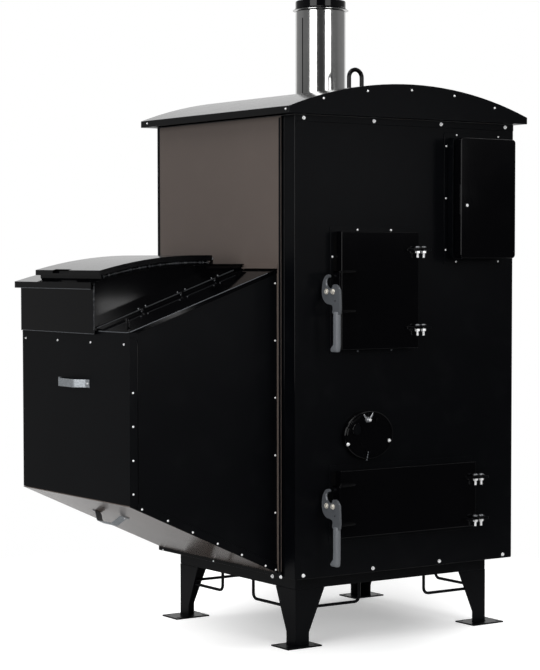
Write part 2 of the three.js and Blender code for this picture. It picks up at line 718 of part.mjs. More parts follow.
// --- Fuel feed and combustion air ---
const augerEnd = fireX[0] + 30;
{
  const tube = cut(
    bar("x", augerY, augerZ, augerTube, -augerOut, augerEnd, 28),
    bar("x", augerY, augerZ, augerTube - augerWall, -augerOut - 1, augerEnd + 1, 28),
  );
  const mouthZ = [augerZ + 20, augerZ + augerTube + 5];
  const mouth = block([-augerOut + 12, -14], [augerY - 30, augerY + 30], mouthZ);
  node("auger_tube", cut(tube, mouth), dark);
  const shaft = bar("x", augerY, augerZ, augerShaft, -augerOut - 4, augerEnd - 6, 12);
  const plates = [];
  const from = -augerOut + 20;
  const count = Math.floor((augerEnd - 12 - from) / (augerPitch / 2));
  for (let i = 0; i < count; i++) {
    const disc = bar("x", 0, 0, augerFlight, -1.5, 1.5, 14);
    const tilted = toGeometry(disc);
    tilted.applyMatrix4(new THREE.Matrix4().makeRotationY(((i % 2 ? 1 : -1) * 14 * Math.PI) / 180));
    tilted.translate(from + (i * augerPitch) / 2, augerY, augerZ);
    plates.push(toSolid(tilted));
  }
  node("auger_screw", join(shaft, ...plates), steel);
  const back = -augerOut - gap;
  const housingY = [augerY - motorHalf, augerY + motorHalf];
  const housing = block([back - motorLong, back], housingY, [augerZ - motorTall / 2, augerZ + motorTall / 2]);
  const shaftBore = bar("x", augerY, augerZ, augerShaft + runFit * 2, back - 10, back + 1, 24);
  node("auger_motor", cut(housing, shaftBore), dark);
}
{
  const face = [cabinetDeep - sheet - gap - blowerDeep, cabinetDeep - sheet - gap];
  const drum = bar("y", blowerX, blowerZ, blowerRadius, ...face, 32);
  const roomY = [face[0] + blowerWall, face[1] - blowerWall];
  const room = bar("y", blowerX, blowerZ, blowerRadius - blowerWall, ...roomY, 32);
  const inlet = bar("y", blowerX, blowerZ, blowerInlet, face[1] - blowerWall - 1, face[1] + 1, 28);
  const bossBore = bar("y", blowerX, blowerZ, 6 + runFit, face[0] - 1, face[0] + blowerWall + 1, 24);
  node("blower_housing", cut(drum, room, inlet, bossBore), dark);
  const wheelY = [face[0] + 12, face[1] - 12];
  const hub = bar("y", blowerX, blowerZ, 6, face[0] - 4, wheelY[1], 20);
  const disc = bar("y", blowerX, blowerZ, wheelRadius, wheelY[0], wheelY[0] + 3, 32);
  const blades = Array.from({ length: wheelBlades }, (_, i) => {
    const blade = toGeometry(block([wheelRadius - 24, wheelRadius - 2], wheelY, [-1.5, 1.5]));
    blade.applyMatrix4(new THREE.Matrix4().makeRotationY((i * 2 * Math.PI) / wheelBlades));
    blade.translate(blowerX, 0, blowerZ);
    return toSolid(blade);
  });
  node("blower_wheel", join(hub, disc, ...blades), steel);
}

// --- Doors, frames, hinges and levers ---
const leverHook = [[26, 60], [38, 63], [54, 54], [66, 36], [72, 12], [71, -12], [60, -32], [42, -44]];
const leverNeck = [[22, -47], [6, -52], [3, -62], [3, -80], [-38, -80], [-38, -2], [-33, 12], [-22, 23]];
const leverMouth = [[-8, 27], [2, 24], [7, 17], [14, 13], [24, 15], [31, 24], [33, 36], [31, 46], [23, 52]];
const leverOutline = [...leverHook, ...leverNeck, ...leverMouth];
const leverPivotX = leverX + leverThick;
const bracketX = [leverPivotX + bracketGap, leverPivotX + bracketGap + bracketThick];

function hingedDoor(name, { x, z, pivotZ, hingeZ, hingeX }) {
  const face = -doorFace;
  const back = -doorBack;
  const boltX = hingeX - hingePitch;
  const tray = block(x, [face, back], z);
  const room = block(grown(x, -sheet), [face + sheet, back + 1], grown(z, -sheet));
  const ribZ = [pivotZ + ribPitch / 2, pivotZ - ribPitch / 2];
  const ribs = ribZ.map((middle) => {
    const out = [[bracketX[0], face - 6], [bracketX[0], face - ribOut - 12]];
    out.push([bracketX[1] + 8, face - ribOut - 12], [ribEnd - 22, face - ribOut]);
    out.push([ribEnd, face + 1], [x[0], face + 1], [x[0] - 4, face - 6]);
    return prism(out, "z", middle - ribTall / 2, middle + ribTall / 2);
  });
  const bracketY = [leverPivotY - 18, face - 8];
  const bracket = block(bracketX, bracketY, [ribZ[1] - ribTall / 2, ribZ[0] + ribTall / 2]);
  const pivotHole = bar("x", leverPivotY, pivotZ, leverBoltRadius + gap, ...grown(bracketX, 1), 20);
  const ears = hingeZ.map((top) => {
    const low = top - hingeLink - gap - hingeEar;
    const outline = [[boltX - hingeTail, face + 1], [boltX - hingeTail, hingeAxisY + 4]];
    outline.push([boltX - hingeTail + 20, hingeAxisY - hingeEarHalf]);
    outline.push(...arc(boltX, hingeAxisY, hingeEarHalf, -90, 90, 10), [boltX - 1, face + 1]);
    return cut(
      prism(outline, "z", low, low + hingeEar),
      bar("z", boltX, hingeAxisY, hingePinRadius + runFit, low - 1, low + hingeEar + 1, 24),
    );
  });
  node(`${name}_door`, cut(join(cut(tray, room), ...ribs, bracket, ...ears), pivotHole), black);

  const fill = [face + sheet + gap, back - gap];
  const linerX = grown(x, -sheet - gap);
  const linerZ = grown(z, -sheet - gap);
  node(`${name}_liner`, block(linerX, fill, linerZ), rope);
  const seat = throat({ x, z }, doorRim);
  const sealY = [back, -frameFlange - gap * 2];
  const sealHole = block(grown(seat.x, -gasketWide), grown(sealY, 1), grown(seat.z, -gasketWide));
  node(`${name}_gasket`, cut(block(seat.x, sealY, seat.z), sealHole), rope);

  const mouth = throat({ x, z });
  const collar = throat({ x, z }, throatWall);
  const flangeY = [-gap - frameFlange, -gap];
  const tabX = [bracketX[0], x[0]];
  const tabZ = [pivotZ - 20, pivotZ + 20];
  const catchEar = block([tabX[0], tabX[0] + bracketThick], [leverPivotY + leverBoltPitch - 8, -gap], tabZ);
  const lugs = hingeZ.map((top) => {
    const low = top - hingeLink - gap - hingeEar;
    const lugTo = hingeX + hingeEarHalf + hingeLugWide;
    const outline = arc(hingeX, hingeAxisY, hingeEarHalf, 90, 270, 10);
    outline.push([lugTo - 8, hingeAxisY - hingeEarHalf], [lugTo, hingeAxisY - hingeEarHalf + 8]);
    const lugFrom = lugTo - hingeLugWide + 3;
    outline.push([lugTo, -gap], [lugFrom, -gap], [lugFrom, hingeAxisY + hingeEarHalf]);
    const lug = prism(outline, "z", low, low + hingeEar);
    const plate = block([x[1], lugTo + 6], flangeY, [low - 14, low + hingeEar + 14]);
    return cut(
      join(lug, plate),
      bar("z", hingeX, hingeAxisY, hingePinRadius + runFit, low - 1, low + hingeEar + 1, 24),
    );
  });
  const flange = join(block(grown(x, frameOut), flangeY, grown(z, frameOut)), block(tabX, flangeY, tabZ));
  const sleeve = block(collar.x, [-gap, throatEnd], collar.z);
  const passage = block(mouth.x, [-10, throatEnd + 1], mouth.z);
  node(`${name}_frame`, cut(join(flange, sleeve, catchEar, ...lugs), passage), black);

  hingeZ.forEach((top, i) => {
    const low = top - hingeLink;
    const ends = [boltX, hingeX];
    const round = hingeEarHalf + 2;
    const oblong = [...arc(hingeX, hingeAxisY, round, -90, 90, 8)];
    oblong.push(...arc(boltX, hingeAxisY, round, 90, 270, 8));
    const strap = prism(oblong, "z", low, top);
    const nutTop = low - gap * 2 - hingeEar;
    const nutLow = nutTop - hingeNutTall;
    const pins = ends.map((at) => bar("z", at, hingeAxisY, hingePinRadius, nutLow, top + 3, 14));
    const nuts = ends.map((at) => bar("z", at, hingeAxisY, hingeNutRadius, nutLow, nutTop, 6));
    const heads = ends.map((at) => bar("z", at, hingeAxisY, hingeNutRadius, top - 0.5, top + 6, 6));
    node(`${name}_hinge_link_${i === 0 ? "upper" : "lower"}`, join(strap, ...pins, ...nuts, ...heads), steel);
  });

  const placed = leverOutline.map(([y, up]) => [leverPivotY + y, pivotZ + up]);
  const plate = prism(placed, "x", leverX, leverX + leverThick);
  const gripX = [leverX + leverThick / 2 - gripThick / 2, leverX + leverThick / 2 + gripThick / 2];
  const gripY = [leverPivotY - gripOff - gripWide / 2, leverPivotY - gripOff + gripWide / 2];
  const gripTop = pivotZ - gripDrop;
  const lobeTop = gripTop - gripLong;
  const gripOutline = [[gripY[0] + 5, gripTop], [gripY[1] - 5, gripTop], [gripY[1], gripTop - 8]];
  gripOutline.push([gripY[1], lobeTop], [gripY[1] + 12, lobeTop - 8], [gripY[1] + 14, lobeTop - 18]);
  gripOutline.push([gripY[1] + 8, lobeTop - 25], [gripY[0] + 14, lobeTop - 24], [gripY[0] + 2, lobeTop - 14]);
  gripOutline.push([gripY[0], lobeTop], [gripY[0], gripTop - 8]);
  const grip = prism(gripOutline, "x", gripX[0], gripX[1]);
  const catchY = leverPivotY + leverBoltPitch;
  const catchBolt = join(
    bar("x", catchY, pivotZ, leverHeadRadius, leverX - leverHeadTall, leverX + 1, 6),
    bar("x", catchY, pivotZ, leverBoltRadius, leverX, leverX + leverThick + 2, 16),
  );
  const through = [leverX - 1, leverX + leverThick + 1];
  const pivotBore = bar("x", leverPivotY, pivotZ, leverBoltRadius + runFit, ...through, 24);
  const eyelet = bar("x", leverPivotY - 12, pivotZ - 34, 4, ...through, 12);
  node(`${name}_lever`, cut(join(plate, grip, catchBolt), pivotBore, eyelet), grey);
  const boltTo = bracketX[1] + 8;
  const shank = bar("x", leverPivotY, pivotZ, leverBoltRadius, leverX - leverHeadTall, boltTo, 20);
  const head = bar("x", leverPivotY, pivotZ, leverHeadRadius, leverX - leverHeadTall - gap, leverX - gap, 6);
  const nut = bar("x", leverPivotY, pivotZ, leverHeadRadius, bracketX[1] + gap, boltTo, 6);
  node(`${name}_lever_bolt`, join(shank, head, nut), steel);
}
hingedDoor("fire", doors.fire);
hingedDoor("ash", doors.ash);

// --- Control box ---
const coverPinX = coverRight + coverHingeOut;
{
  const x = [boxLeft, boxRight];
  const z = [boxLow, boxHigh];
  const flange = block(grown(x, boxFlangeOut), [-gap - sheet, -gap], grown(z, boxFlangeOut));
  const rim = prism(rounded(x, z, boxRound), "y", -boxRimDeep, -gap);
  const core = prism(rounded(grown(x, -boxInset), grown(z, -boxInset), 8), "y", -boxInnerDeep, -gap);
  const roomX = grown(x, -boxInset - coverSheet);
  const room = block(roomX, [-boxInnerDeep - 1, -gap - sheet], grown(z, -boxInset - coverSheet));
  node("control_base", cut(join(flange, rim, core), room), black);
  const coverX = [coverLeft, coverRight];
  const coverZ = [coverLow, coverHigh];
  const tray = prism(rounded(coverX, coverZ, boxRound), "y", -coverFace, -coverBack);
  const inner = rounded(grown(coverX, -coverSheet), grown(coverZ, -coverSheet), boxRound - coverSheet);
  const hollow = prism(inner, "y", -coverFace + coverSheet, -coverBack + 1);
  const inside = -coverFace + coverSheet;
  const knobHole = bar("y", lockX, lockZ, lockRadius + runFit, -coverFace - 1, inside + 1, 24);
  node("control_cover", cut(tray, hollow, knobHole), black);
  const barrel = bar("y", lockX, lockZ, lockRadius, -coverFace - 3, -boxInnerDeep - gap * 4, 20);
  const cam = block([lockX - 6, lockX + 6], [inside + gap, inside + 3], [lockZ - 5, lockZ + 16]);
  node("control_lock", join(barrel, cam), steel);
  const hingeZ = grown([coverLow, coverHigh], -30);
  const hinge = bar("z", coverPinX, -coverBack - 1, 3, ...hingeZ, 14);
  const leaf = block([boxRight - boxInset, coverPinX], [-coverBack + gap, -coverBack + gap + 2], hingeZ);
  node("control_hinge", join(hinge, leaf), steel);
}

// --- Port between the doors ---
{
  const y = [-portPlate, -gap];
  const disc = prism(circle(portX, portZ, portHalfWide, 48, portHalfTall), "y", ...y);
  const sleeve = bar("y", portX, portZ, portBore + portSleeve, -gap - 1, throatEnd, 32);
  const bore = bar("y", portX, portZ, portBore, -portPlate - 1, throatEnd + 1, 32);
  const pivotZ = portZ + damperPivotZ;
  const damperFace = -portPlate - damperThick;
  const pivotPin = bar("y", portX, pivotZ, damperPinRadius, damperFace - 4, -portPlate + 2, 16);
  const stud = bar("y", portX + wingX, portZ + wingZ, studRadius, damperFace - 20, -portPlate + 2, 16);
  node("port_flange", cut(join(disc, sleeve, pivotPin, stud), bore), black);
  const front = [-portPlate - gap - damperThick, -portPlate - gap];
  const lowEdge = [[-96, 32], [-88, 20], [-20, -56], [-12, -72], [12, -74], [50, -56], [78, -26]];
  const highEdge = [[86, 6], [76, 40], [50, 66], [14, 82], [-22, 84], [-34, 78], [-92, 42]];
  const outline = [...lowEdge, ...highEdge].map(([a, b]) => [portX + a, portZ + b]);
  const pivotHole = bar("y", portX, pivotZ, damperPinRadius + runFit, front[0] - 1, front[1] + 1, 24);
  const sight = bar("y", portX + sightX, portZ + sightZ, sightRadius, front[0] - 1, front[1] + 1, 28);
  const reach = wingZ - damperPivotZ;
  const slot = Array.from({ length: 9 }, (_, i) => {
    const turn = Math.atan2(reach, wingX) + ((i - 8) * 2.5 * Math.PI) / 180;
    const radius = Math.hypot(reach, wingX);
    const spot = [portX + radius * Math.cos(turn), pivotZ + radius * Math.sin(turn)];
    return bar("y", ...spot, studRadius + 1, ...grown(front, 1), 16);
  });
  node("port_damper", cut(prism(outline, "y", ...front), pivotHole, sight, ...slot), black);
  const nutY = [front[0] - 14, front[0] - gap];
  const hub = bar("y", portX + wingX, portZ + wingZ, 11, ...nutY, 16);
  const wing = (side) => {
    const tip = [[7, -5], [wingSpan, 4], [wingSpan, 16], [20, 18], [7, 6]];
    const outline = tip.map(([a, b]) => [portX + wingX + side * a, portZ + wingZ + b]);
    return prism(outline, "y", nutY[0] + 2, nutY[0] + 8);
  };
  const bored = bar("y", portX + wingX, portZ + wingZ, studRadius + runFit, nutY[0] - 1, nutY[1] + 1, 24);
  node("port_wing_nut", cut(join(hub, wing(1), wing(-1)), bored), steel);
}

// The origin sits under the middle of the whole object, on the ground.
const whole = new THREE.Box3().setFromObject(group);
const middle = whole.getCenter(new THREE.Vector3());
group.children.forEach((mesh) => mesh.geometry.translate(-middle.x, -middle.y, -whole.min.z));

export default group;
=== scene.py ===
import json
import math

import bmesh
import bpy
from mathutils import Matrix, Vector


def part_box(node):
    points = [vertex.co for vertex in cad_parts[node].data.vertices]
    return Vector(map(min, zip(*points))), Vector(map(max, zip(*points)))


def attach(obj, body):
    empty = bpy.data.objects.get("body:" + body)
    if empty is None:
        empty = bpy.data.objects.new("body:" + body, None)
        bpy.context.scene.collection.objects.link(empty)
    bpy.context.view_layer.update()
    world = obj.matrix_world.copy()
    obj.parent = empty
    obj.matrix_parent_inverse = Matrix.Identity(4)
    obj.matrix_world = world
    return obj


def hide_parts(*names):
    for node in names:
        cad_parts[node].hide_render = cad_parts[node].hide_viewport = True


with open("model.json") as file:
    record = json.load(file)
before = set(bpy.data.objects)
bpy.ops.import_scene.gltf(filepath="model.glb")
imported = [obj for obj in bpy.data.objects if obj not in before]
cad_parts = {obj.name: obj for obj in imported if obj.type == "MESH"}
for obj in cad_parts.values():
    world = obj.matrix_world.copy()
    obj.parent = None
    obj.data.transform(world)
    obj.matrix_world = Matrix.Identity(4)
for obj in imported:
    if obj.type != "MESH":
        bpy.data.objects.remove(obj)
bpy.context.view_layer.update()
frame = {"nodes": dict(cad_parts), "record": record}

nodes = frame["nodes"]
slotOf = {part["node"]: part["material_slot"] for part in frame["record"]["subparts"]}
bodyOf = {node: body for body, members in frame["record"]["behaviour"]["bodies"].items() for node in members}
print("frame loaded:", len(nodes), "nodes")

# Places are millimetres from the cabinet's front left edge, with heights from the ground
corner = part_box("front_panel")[0]


def at(x, y, z):
    return Vector((corner.x + x / 1000, corner.y + y / 1000, z / 1000))


def spanOf(node):
    low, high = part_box(node)
    toMm = lambda p: Vector(((p.x - corner.x) * 1000, (p.y - corner.y) * 1000, p.z * 1000))
    return toMm(low), toMm(high)


# Camera and studio
camera = {
    "place": (-4293, -6228, 1458), "turn": (87.18, 0, -35.03), "lens": 110.2, "sensor": 36,
    "shift": (-0.0612, 0.0388), "reach": 200,
}
studio = {
    "floorHalf": 6, "floorTone": 0.90, "floorFade": (1.3, 2.4), "mirrorDim": 0.6, "ambient": 0.42,
    # Light added to the floor between two places along a way: (from, to), (its strength there)
    "floorLift": [((-0.45, 0.15), (0.72, 0.32)), ((0.45, 1.0), (0.0, 0.28))], "liftWay": (0.819, -0.574, 0.0),
    # What reflections see: glow against the way looked, and more of it above the horizon
    "backdropWay": (0.574, 0.819, 0.0),
    "backdropGlow": [(0.0, 0.02), (0.42, 0.04), (0.66, 0.16), (0.86, 0.26), (0.95, 1.0), (1.0, 0.72)],
    "risingGlow": [(0.0, 0.03), (0.035, 0.05), (0.12, 0.14), (0.5, 0.16), (0.8, 0.06)],
    "risingFrom": (0.03, 0.1),
    # Name, place, aim, size in metres and power
    "lamps": [
        ("leftBox", (-4236, -1250, 2300), (200, 400, 1500), (2.7, 3.2), 110),
        ("frontBox", (400, -4812, 2400), (175, 300, 1400), (2.3, 3.2), 72),
        ("rightCard", (2930, -3600, 1990), (350, 0, 1780), (0.8, 0.5), 3.0),
        ("hoodCard", (925, -2258, 1215), (-556, 350, 1278), (0.20, 0.09), 0.22),
        ("topBox", (-1500, -500, 5500), (300, 400, 1200), (2.8, 2.8), 85),
        ("rearBox", (1800, 4300, 5800), (500, 700, 1300), (2.6, 2.6), 90),
        ("rightBox", (5200, 1600, 5600), (800, 500, 1300), (2.6, 2.6), 80),
    ],
}


class Wire:
    # A node's output socket. Arithmetic on it adds Math nodes
    def __init__(self, tree, socket):
        self.tree, self.socket = tree, socket

    def math(self, operation, first, second):
        return self.tree.add("ShaderNodeMath", {0: first, 1: second}, operation=operation)

    def __add__(self, other):
        return self.math("ADD", self, other)

    def __radd__(self, other):
        return self.math("ADD", other, self)

    def __sub__(self, other):
        return self.math("SUBTRACT", self, other)

    def __mul__(self, other):
        return self.math("MULTIPLY", self, other)


class Tree:
    family = "ShaderNode"

    def __init__(self, tree):
        self.tree = tree
        tree.nodes.clear()

    def add(self, kind, inputs=None, out=0, **settings):
        # A kind without its family's name belongs to the tree's own family
        node = self.tree.nodes.new(kind if "Node" in kind else self.family + kind)
        for name, value in settings.items():
            if name == "stops":
                self.setStops(node.color_ramp, value)
            else:
                setattr(node, name, value)
        for key, value in (inputs or {}).items():
            for one in value if isinstance(value, list) else [value]:
                if isinstance(one, Wire):
                    self.tree.links.new(one.socket, node.inputs[key])
                else:
                    node.inputs[key].default_value = one
        return Wire(self, node.outputs[out]) if len(node.outputs) else None

    def setStops(self, ramp, stops):
        while len(ramp.elements) < len(stops):
            ramp.elements.new(0.5)
        for element, (place, tone) in zip(ramp.elements, stops):
            element.position = place
            element.color = (tone, tone, tone, 1) if isinstance(tone, (int, float)) else (*tone, 1)

    def mix(self, factor, first, second):
        return self.add("Mix", {0: factor, 6: first, 7: second}, 2, data_type="RGBA")

    def blend(self, factor, first, second):
        return self.add("Mix", {0: factor, 2: first, 3: second}, data_type="FLOAT")

    def ease(self, value, start, stop, low=0.0, high=1.0):
        ends = {"Value": value, "From Min": start, "From Max": stop, "To Min": low, "To Max": high}
        return self.add("MapRange", ends, interpolation_type="SMOOTHSTEP")

    def ray(self, kind):
        return self.add("LightPath", out=kind)

    def dot(self, first, second):
        return self.vector("DOT_PRODUCT", {0: first, 1: second}, "Value")

    def vector(self, operation, inputs, out=0):
        return self.add("ShaderNodeVectorMath", inputs, out, operation=operation)

    def spots(self, place, scale, detail=2.0, roughness=0.5, stretch=None):
        if stretch:
            place = self.add("Mapping", {"Vector": place, "Scale": stretch})
        inputs = {"Vector": place, "Scale": scale, "Detail": detail, "Roughness": roughness}
        return self.add("TexNoise", inputs)

    def ramp(self, value, stops):
        return self.add("ValToRGB", {0: value}, stops=stops)


white = (1, 1, 1, 1)


def rgb(color):
    return (*color, 1)


def startFinish(name):
    finish = bpy.data.materials.new(name)
    finish.use_nodes = True
    tree = Tree(finish.node_tree)
    return finish, tree, tree.add("TexCoord", out="Object")


def makeCamera():
    data = bpy.data.cameras.new("photoCamera")
    data.lens = camera["lens"]
    data.sensor_width = camera["sensor"]
    data.shift_x, data.shift_y = camera["shift"]
    data.clip_end = camera["reach"]
    lookout = bpy.data.objects.new("photoCamera", data)
    lookout.location = at(*camera["place"])
    lookout.rotation_euler = [math.radians(a) for a in camera["turn"]]
    bpy.context.scene.collection.objects.link(lookout)
    bpy.context.scene.camera = lookout


def makeStudio():
    scene = bpy.context.scene
    scene.view_settings.view_transform = "Standard"
    for name, place, aim, size, power in studio["lamps"]:
        data = bpy.data.lights.new(name, "AREA")
        data.shape = "RECTANGLE"
        data.size, data.size_y = size
        data.energy = power
        light = bpy.data.objects.new(name, data)
        light.location = at(*place)
        light.rotation_euler = (at(*aim) - light.location).to_track_quat("-Z", "Y").to_euler()
        light.visible_camera = False
        scene.collection.objects.link(light)

    # White where the camera looks past the object; reflections see a pale backdrop behind it
    world = bpy.data.worlds.new("studioAir")
    scene.world = world
    world.use_nodes = True
    tree = Tree(world.node_tree)
    way = tree.add("TexCoord", out="Generated")
    facing = tree.dot(way, studio["backdropWay"]) * 0.5 + 0.5
    rise = tree.ease(tree.add("SeparateXYZ", {0: way}, 2), *studio["risingFrom"])
    glow = tree.ramp(facing, studio["backdropGlow"]) + rise * tree.ramp(facing, studio["risingGlow"])
    seen = tree.blend(tree.ray("Is Camera Ray"), studio["ambient"], 1.0)
    mirrored = tree.ray("Is Glossy Ray") + tree.ray("Is Transmission Ray")
    air = {"Color": white, "Strength": tree.blend(mirrored, seen, glow)}
    tree.add("OutputWorld", {"Surface": tree.add("Background", air)})

    # A pale floor that fades out, lit a little more where the photo's floor is white
    bm = bmesh.new()
    bmesh.ops.create_grid(bm, x_segments=8, y_segments=8, size=studio["floorHalf"])
    floor = fromBmesh("studioFloor", bm)
    paper, tree, place = startFinish("studioPaper")
    grey = studio["floorTone"]
    tone = tree.mix(tree.spots(place, 0.6), rgb([grey] * 3), rgb([grey * 0.99] * 3))
    tone = tree.mix(tree.ray("Is Glossy Ray"), tone, rgb([grey * studio["mirrorDim"]] * 3))
    across = tree.dot(place, studio["liftWay"])
    first, second = (tree.ease(across, *span, *ends) for span, ends in studio["floorLift"])
    seen = tree.ray("Is Camera Ray") + tree.ray("Is Transmission Ray")
    lift = tree.add("Emission", {"Color": white, "Strength": seen * (second + first)})
    diffuse = tree.add("BsdfDiffuse", {"Color": tone})
    both = tree.add("AddShader", {0: diffuse, 1: lift})
    fade = tree.ease(tree.vector("LENGTH", {0: place}, "Value"), *studio["floorFade"])
    clear = tree.add("BsdfTransparent")
    surface = tree.add("MixShader", {0: fade, 1: both, 2: clear})
    tree.add("OutputMaterial", {"Surface": surface})
    floor.data.materials.append(paper)
    print("studio ready")


# Pieces and meshes
def newPiece(name, mesh):
    piece = bpy.data.objects.new(name, mesh)
    bpy.context.scene.collection.objects.link(piece)
    return piece


def fromBmesh(name, bm):
    mesh = bpy.data.meshes.new(name)
    bm.to_mesh(mesh)
    bm.free()
    return newPiece(name, mesh)


def fromLists(name, points, faces):
    mesh = bpy.data.meshes.new(name)
    mesh.from_pydata([at(*p) for p in points], [], faces)
    mesh.validate()
    bm = bmesh.new()
    bm.from_mesh(mesh)
    bmesh.ops.remove_doubles(bm, verts=bm.verts, dist=1e-6)
    bmesh.ops.recalc_face_normals(bm, faces=bm.faces)
    bm.to_mesh(mesh)
    bm.free()
    return newPiece(name, mesh)


def smooth(piece, degrees=35):
    for polygon in piece.data.polygons:
        polygon.use_smooth = True
    piece.data.set_sharp_from_angle(angle=math.radians(degrees))
    return piece


def settle(piece):
    # Turns live modifiers into a plain mesh
    bpy.context.view_layer.update()
    graph = bpy.context.evaluated_depsgraph_get()
    evaluated = piece.evaluated_get(graph)
    mesh = bpy.data.meshes.new_from_object(evaluated, preserve_all_data_layers=True, depsgraph=graph)
    piece.modifiers.clear()
    piece.data = mesh
    return piece


def rounded(piece, width, degrees=32, segments=2):
    # Rounds every edge sharper than the angle and keeps the flats flat
    for polygon in piece.data.polygons:
        polygon.use_smooth = True
    edge = piece.modifiers.new("edges", "BEVEL")
    edge.width = width / 1000
    edge.segments = segments
    edge.limit_method = "ANGLE"
    edge.angle_limit = math.radians(degrees)
    return evened(piece, thresh=0.01)


def evened(piece, **settings):
    # Keeps broad flats flat beside their rounded edges
    flat = piece.modifiers.new("flats", "WEIGHTED_NORMAL")
    flat.mode = "FACE_AREA_WITH_ANGLE"
    flat.weight = 80
    for name, value in (settings or {"keep_sharp": True}).items():
        setattr(flat, name, value)
    return settle(piece)


def dress(piece, body, finish, stands=()):
    piece.data.materials.clear()
    piece.data.materials.append(finish)
    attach(piece, body)
    if stands:
        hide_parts(*stands)
    return piece


def standFor(piece, node, finish=None):
    return dress(piece, bodyOf[node], finish or finishOf[slotOf[node]], [node])


def assembled(node, parts, finish=None):
    return standFor(merged(node + "_body", parts), node, finish)


def fit(piece, finish, body="boiler"):
    # An added piece gets its finish and is parented to the body
    return dress(piece, body, finish)


def softened(node, width, degrees=32, segments=2):
    # A copy of a solid with its corners rounded as folded and cut plate has them
    mesh = nodes[node].data.copy()
    bm = bmesh.new()
    bm.from_mesh(mesh)
    bmesh.ops.remove_doubles(bm, verts=bm.verts, dist=2e-6)
    bmesh.ops.dissolve_limit(bm, angle_limit=math.radians(0.4), verts=bm.verts, edges=bm.edges)
    bm.to_mesh(mesh)
    bm.free()
    return rounded(newPiece(node + "_body", mesh), width, degrees, segments)


def about(centre, axis, a, b, along):
    step = {"z": (a, b, along), "y": (a, along, b), "x": (along, a, b)}[axis]
    return [centre[k] + step[k] for k in range(3)]


def lofted(name, rings, degrees=35, closed=False):
    # Rings of equal count joined in turn. The ends are filled, or closed joins them to each other
    count, total = len(rings[0]), len(rings)
    points = [p for ring in rings for p in ring]
    faces = [] if closed else [tuple(range(count)), tuple(range(len(points) - count, len(points)))]
    for i in range(total if closed else total - 1):
        here, after = i * count, (i + 1) % total * count
        for j in range(count):
            k = (j + 1) % count
            faces.append((here + j, here + k, after + k, after + j))
    return smooth(fromLists(name, points, faces), degrees)


def turned(name, profile, centre, axis="z", steps=96):
    # A closed profile of (radius, along) spun about an axis
    rings = []
    for c, s in disc(0, 0, 1, steps, start=0):
        rings.append([about(centre, axis, radius * c, radius * s, rise) for radius, rise in profile])
    return lofted(name, rings, closed=True)


lifts = {"xz": lambda a, b, c: (a, c, b), "yz": lambda a, b, c: (c, a, b), "xy": lambda a, b, c: (a, b, c)}


def plate(name, outline, plane, low, high, holes=(), width=0.0, segments=2):
    # An outline pushed from low to high; plane "xz" lies across Y, "yz" across X, "xy" across Z.
    bm = bmesh.new()
    lift = lambda a, b, c: at(*lifts[plane](a, b, c))
    edges = []
    for ring in [outline, *holes]:
        verts = [bm.verts.new(lift(a, b, low)) for a, b in ring]
        edges += [bm.edges.new((verts[i], verts[(i + 1) % len(verts)])) for i in range(len(verts))]
    if holes:
        bmesh.ops.triangle_fill(bm, edges=edges, use_beauty=True)
    else:
        bm.faces.new(bm.verts[:])
    push = lift(0, 0, high) - lift(0, 0, low)
    grown = bmesh.ops.extrude_face_region(bm, geom=bm.faces[:])
    bmesh.ops.translate(bm, verts=[v for v in grown["geom"] if isinstance(v, bmesh.types.BMVert)], vec=push)
    bmesh.ops.recalc_face_normals(bm, faces=bm.faces)
    piece = fromBmesh(name, bm)
    return rounded(piece, width, segments=segments) if width else smooth(piece)


def rect(x, z):
    return [(x[0], z[0]), (x[1], z[0]), (x[1], z[1]), (x[0], z[1])]


def bar(name, x, y, z, width=1.0):
    return plate(name, rect(x, z), "xz", *y, width=width)


def disc(a, b, radius, sides=32, tall=None, start=0.5):
    tall = tall or radius
    turns = [2 * math.pi * (i + start) / sides for i in range(sides)]
    return [(a + radius * math.cos(t), b + tall * math.sin(t)) for t in turns]


def arc(a, b, radius, start, stop, steps=16):
    turns = [math.radians(start + (stop - start) * i / steps) for i in range(steps + 1)]
    return [(a + radius * math.cos(t), b + radius * math.sin(t)) for t in turns]


def roundRect(x, z, radius, steps=5):
    points = []
    for cx, cz, quarter in ((x[1], z[1], 0), (x[0], z[1], 1), (x[0], z[0], 2), (x[1], z[0], 3)):
        midX = cx - radius if cx == x[1] else cx + radius
        midZ = cz - radius if cz == z[1] else cz + radius
        for i in range(steps + 1):
            turn = (quarter + i / steps) * math.pi / 2
            points.append((midX + radius * math.cos(turn), midZ + radius * math.sin(turn)))
    return points


def grow(span, by):
    return (span[0] - by, span[1] + by)


def flowing(points, steps=4):
    # A closed outline with its corners eased by a Catmull-Rom curve
    count = len(points)
    eased = []
    for i in range(count):
        p0, p1, p2, p3 = (Vector(points[(i + k) % count]) for k in (-1, 0, 1, 2))
        for step in range(steps):
            t = step / steps
            spot = 2 * p1 + (p2 - p0) * t + (2 * p0 - 5 * p1 + 4 * p2 - p3) * t * t
            eased.append(tuple((spot + (3 * p1 - p0 - 3 * p2 + p3) * t ** 3) / 2))
    return eased


def tray(name, x, y, z, wall, radius, fold):
    # An open pan with its face at y[0], its corners and its folded edge rounded
    face, back = y
    eased = fold * 0.29
    rings = [(face, fold), (face + eased, eased), (face + fold, 0), (back, 0)]
    rings += [(back, wall), (face + wall + fold, wall), (face + wall, wall + fold)]
    loops = []
    for depth, inset in rings:
        outline = roundRect(grow(x, -inset), grow(z, -inset), max(radius - inset, 0.4))
        loops.append([(a, depth, b) for a, b in outline])
    return evened(lofted(name, loops, 50))


def merged(name, pieces):
    bm = bmesh.new()
    for piece in pieces:
        bm.from_mesh(piece.data)
        bpy.data.objects.remove(piece)
    return fromBmesh(name, bm)


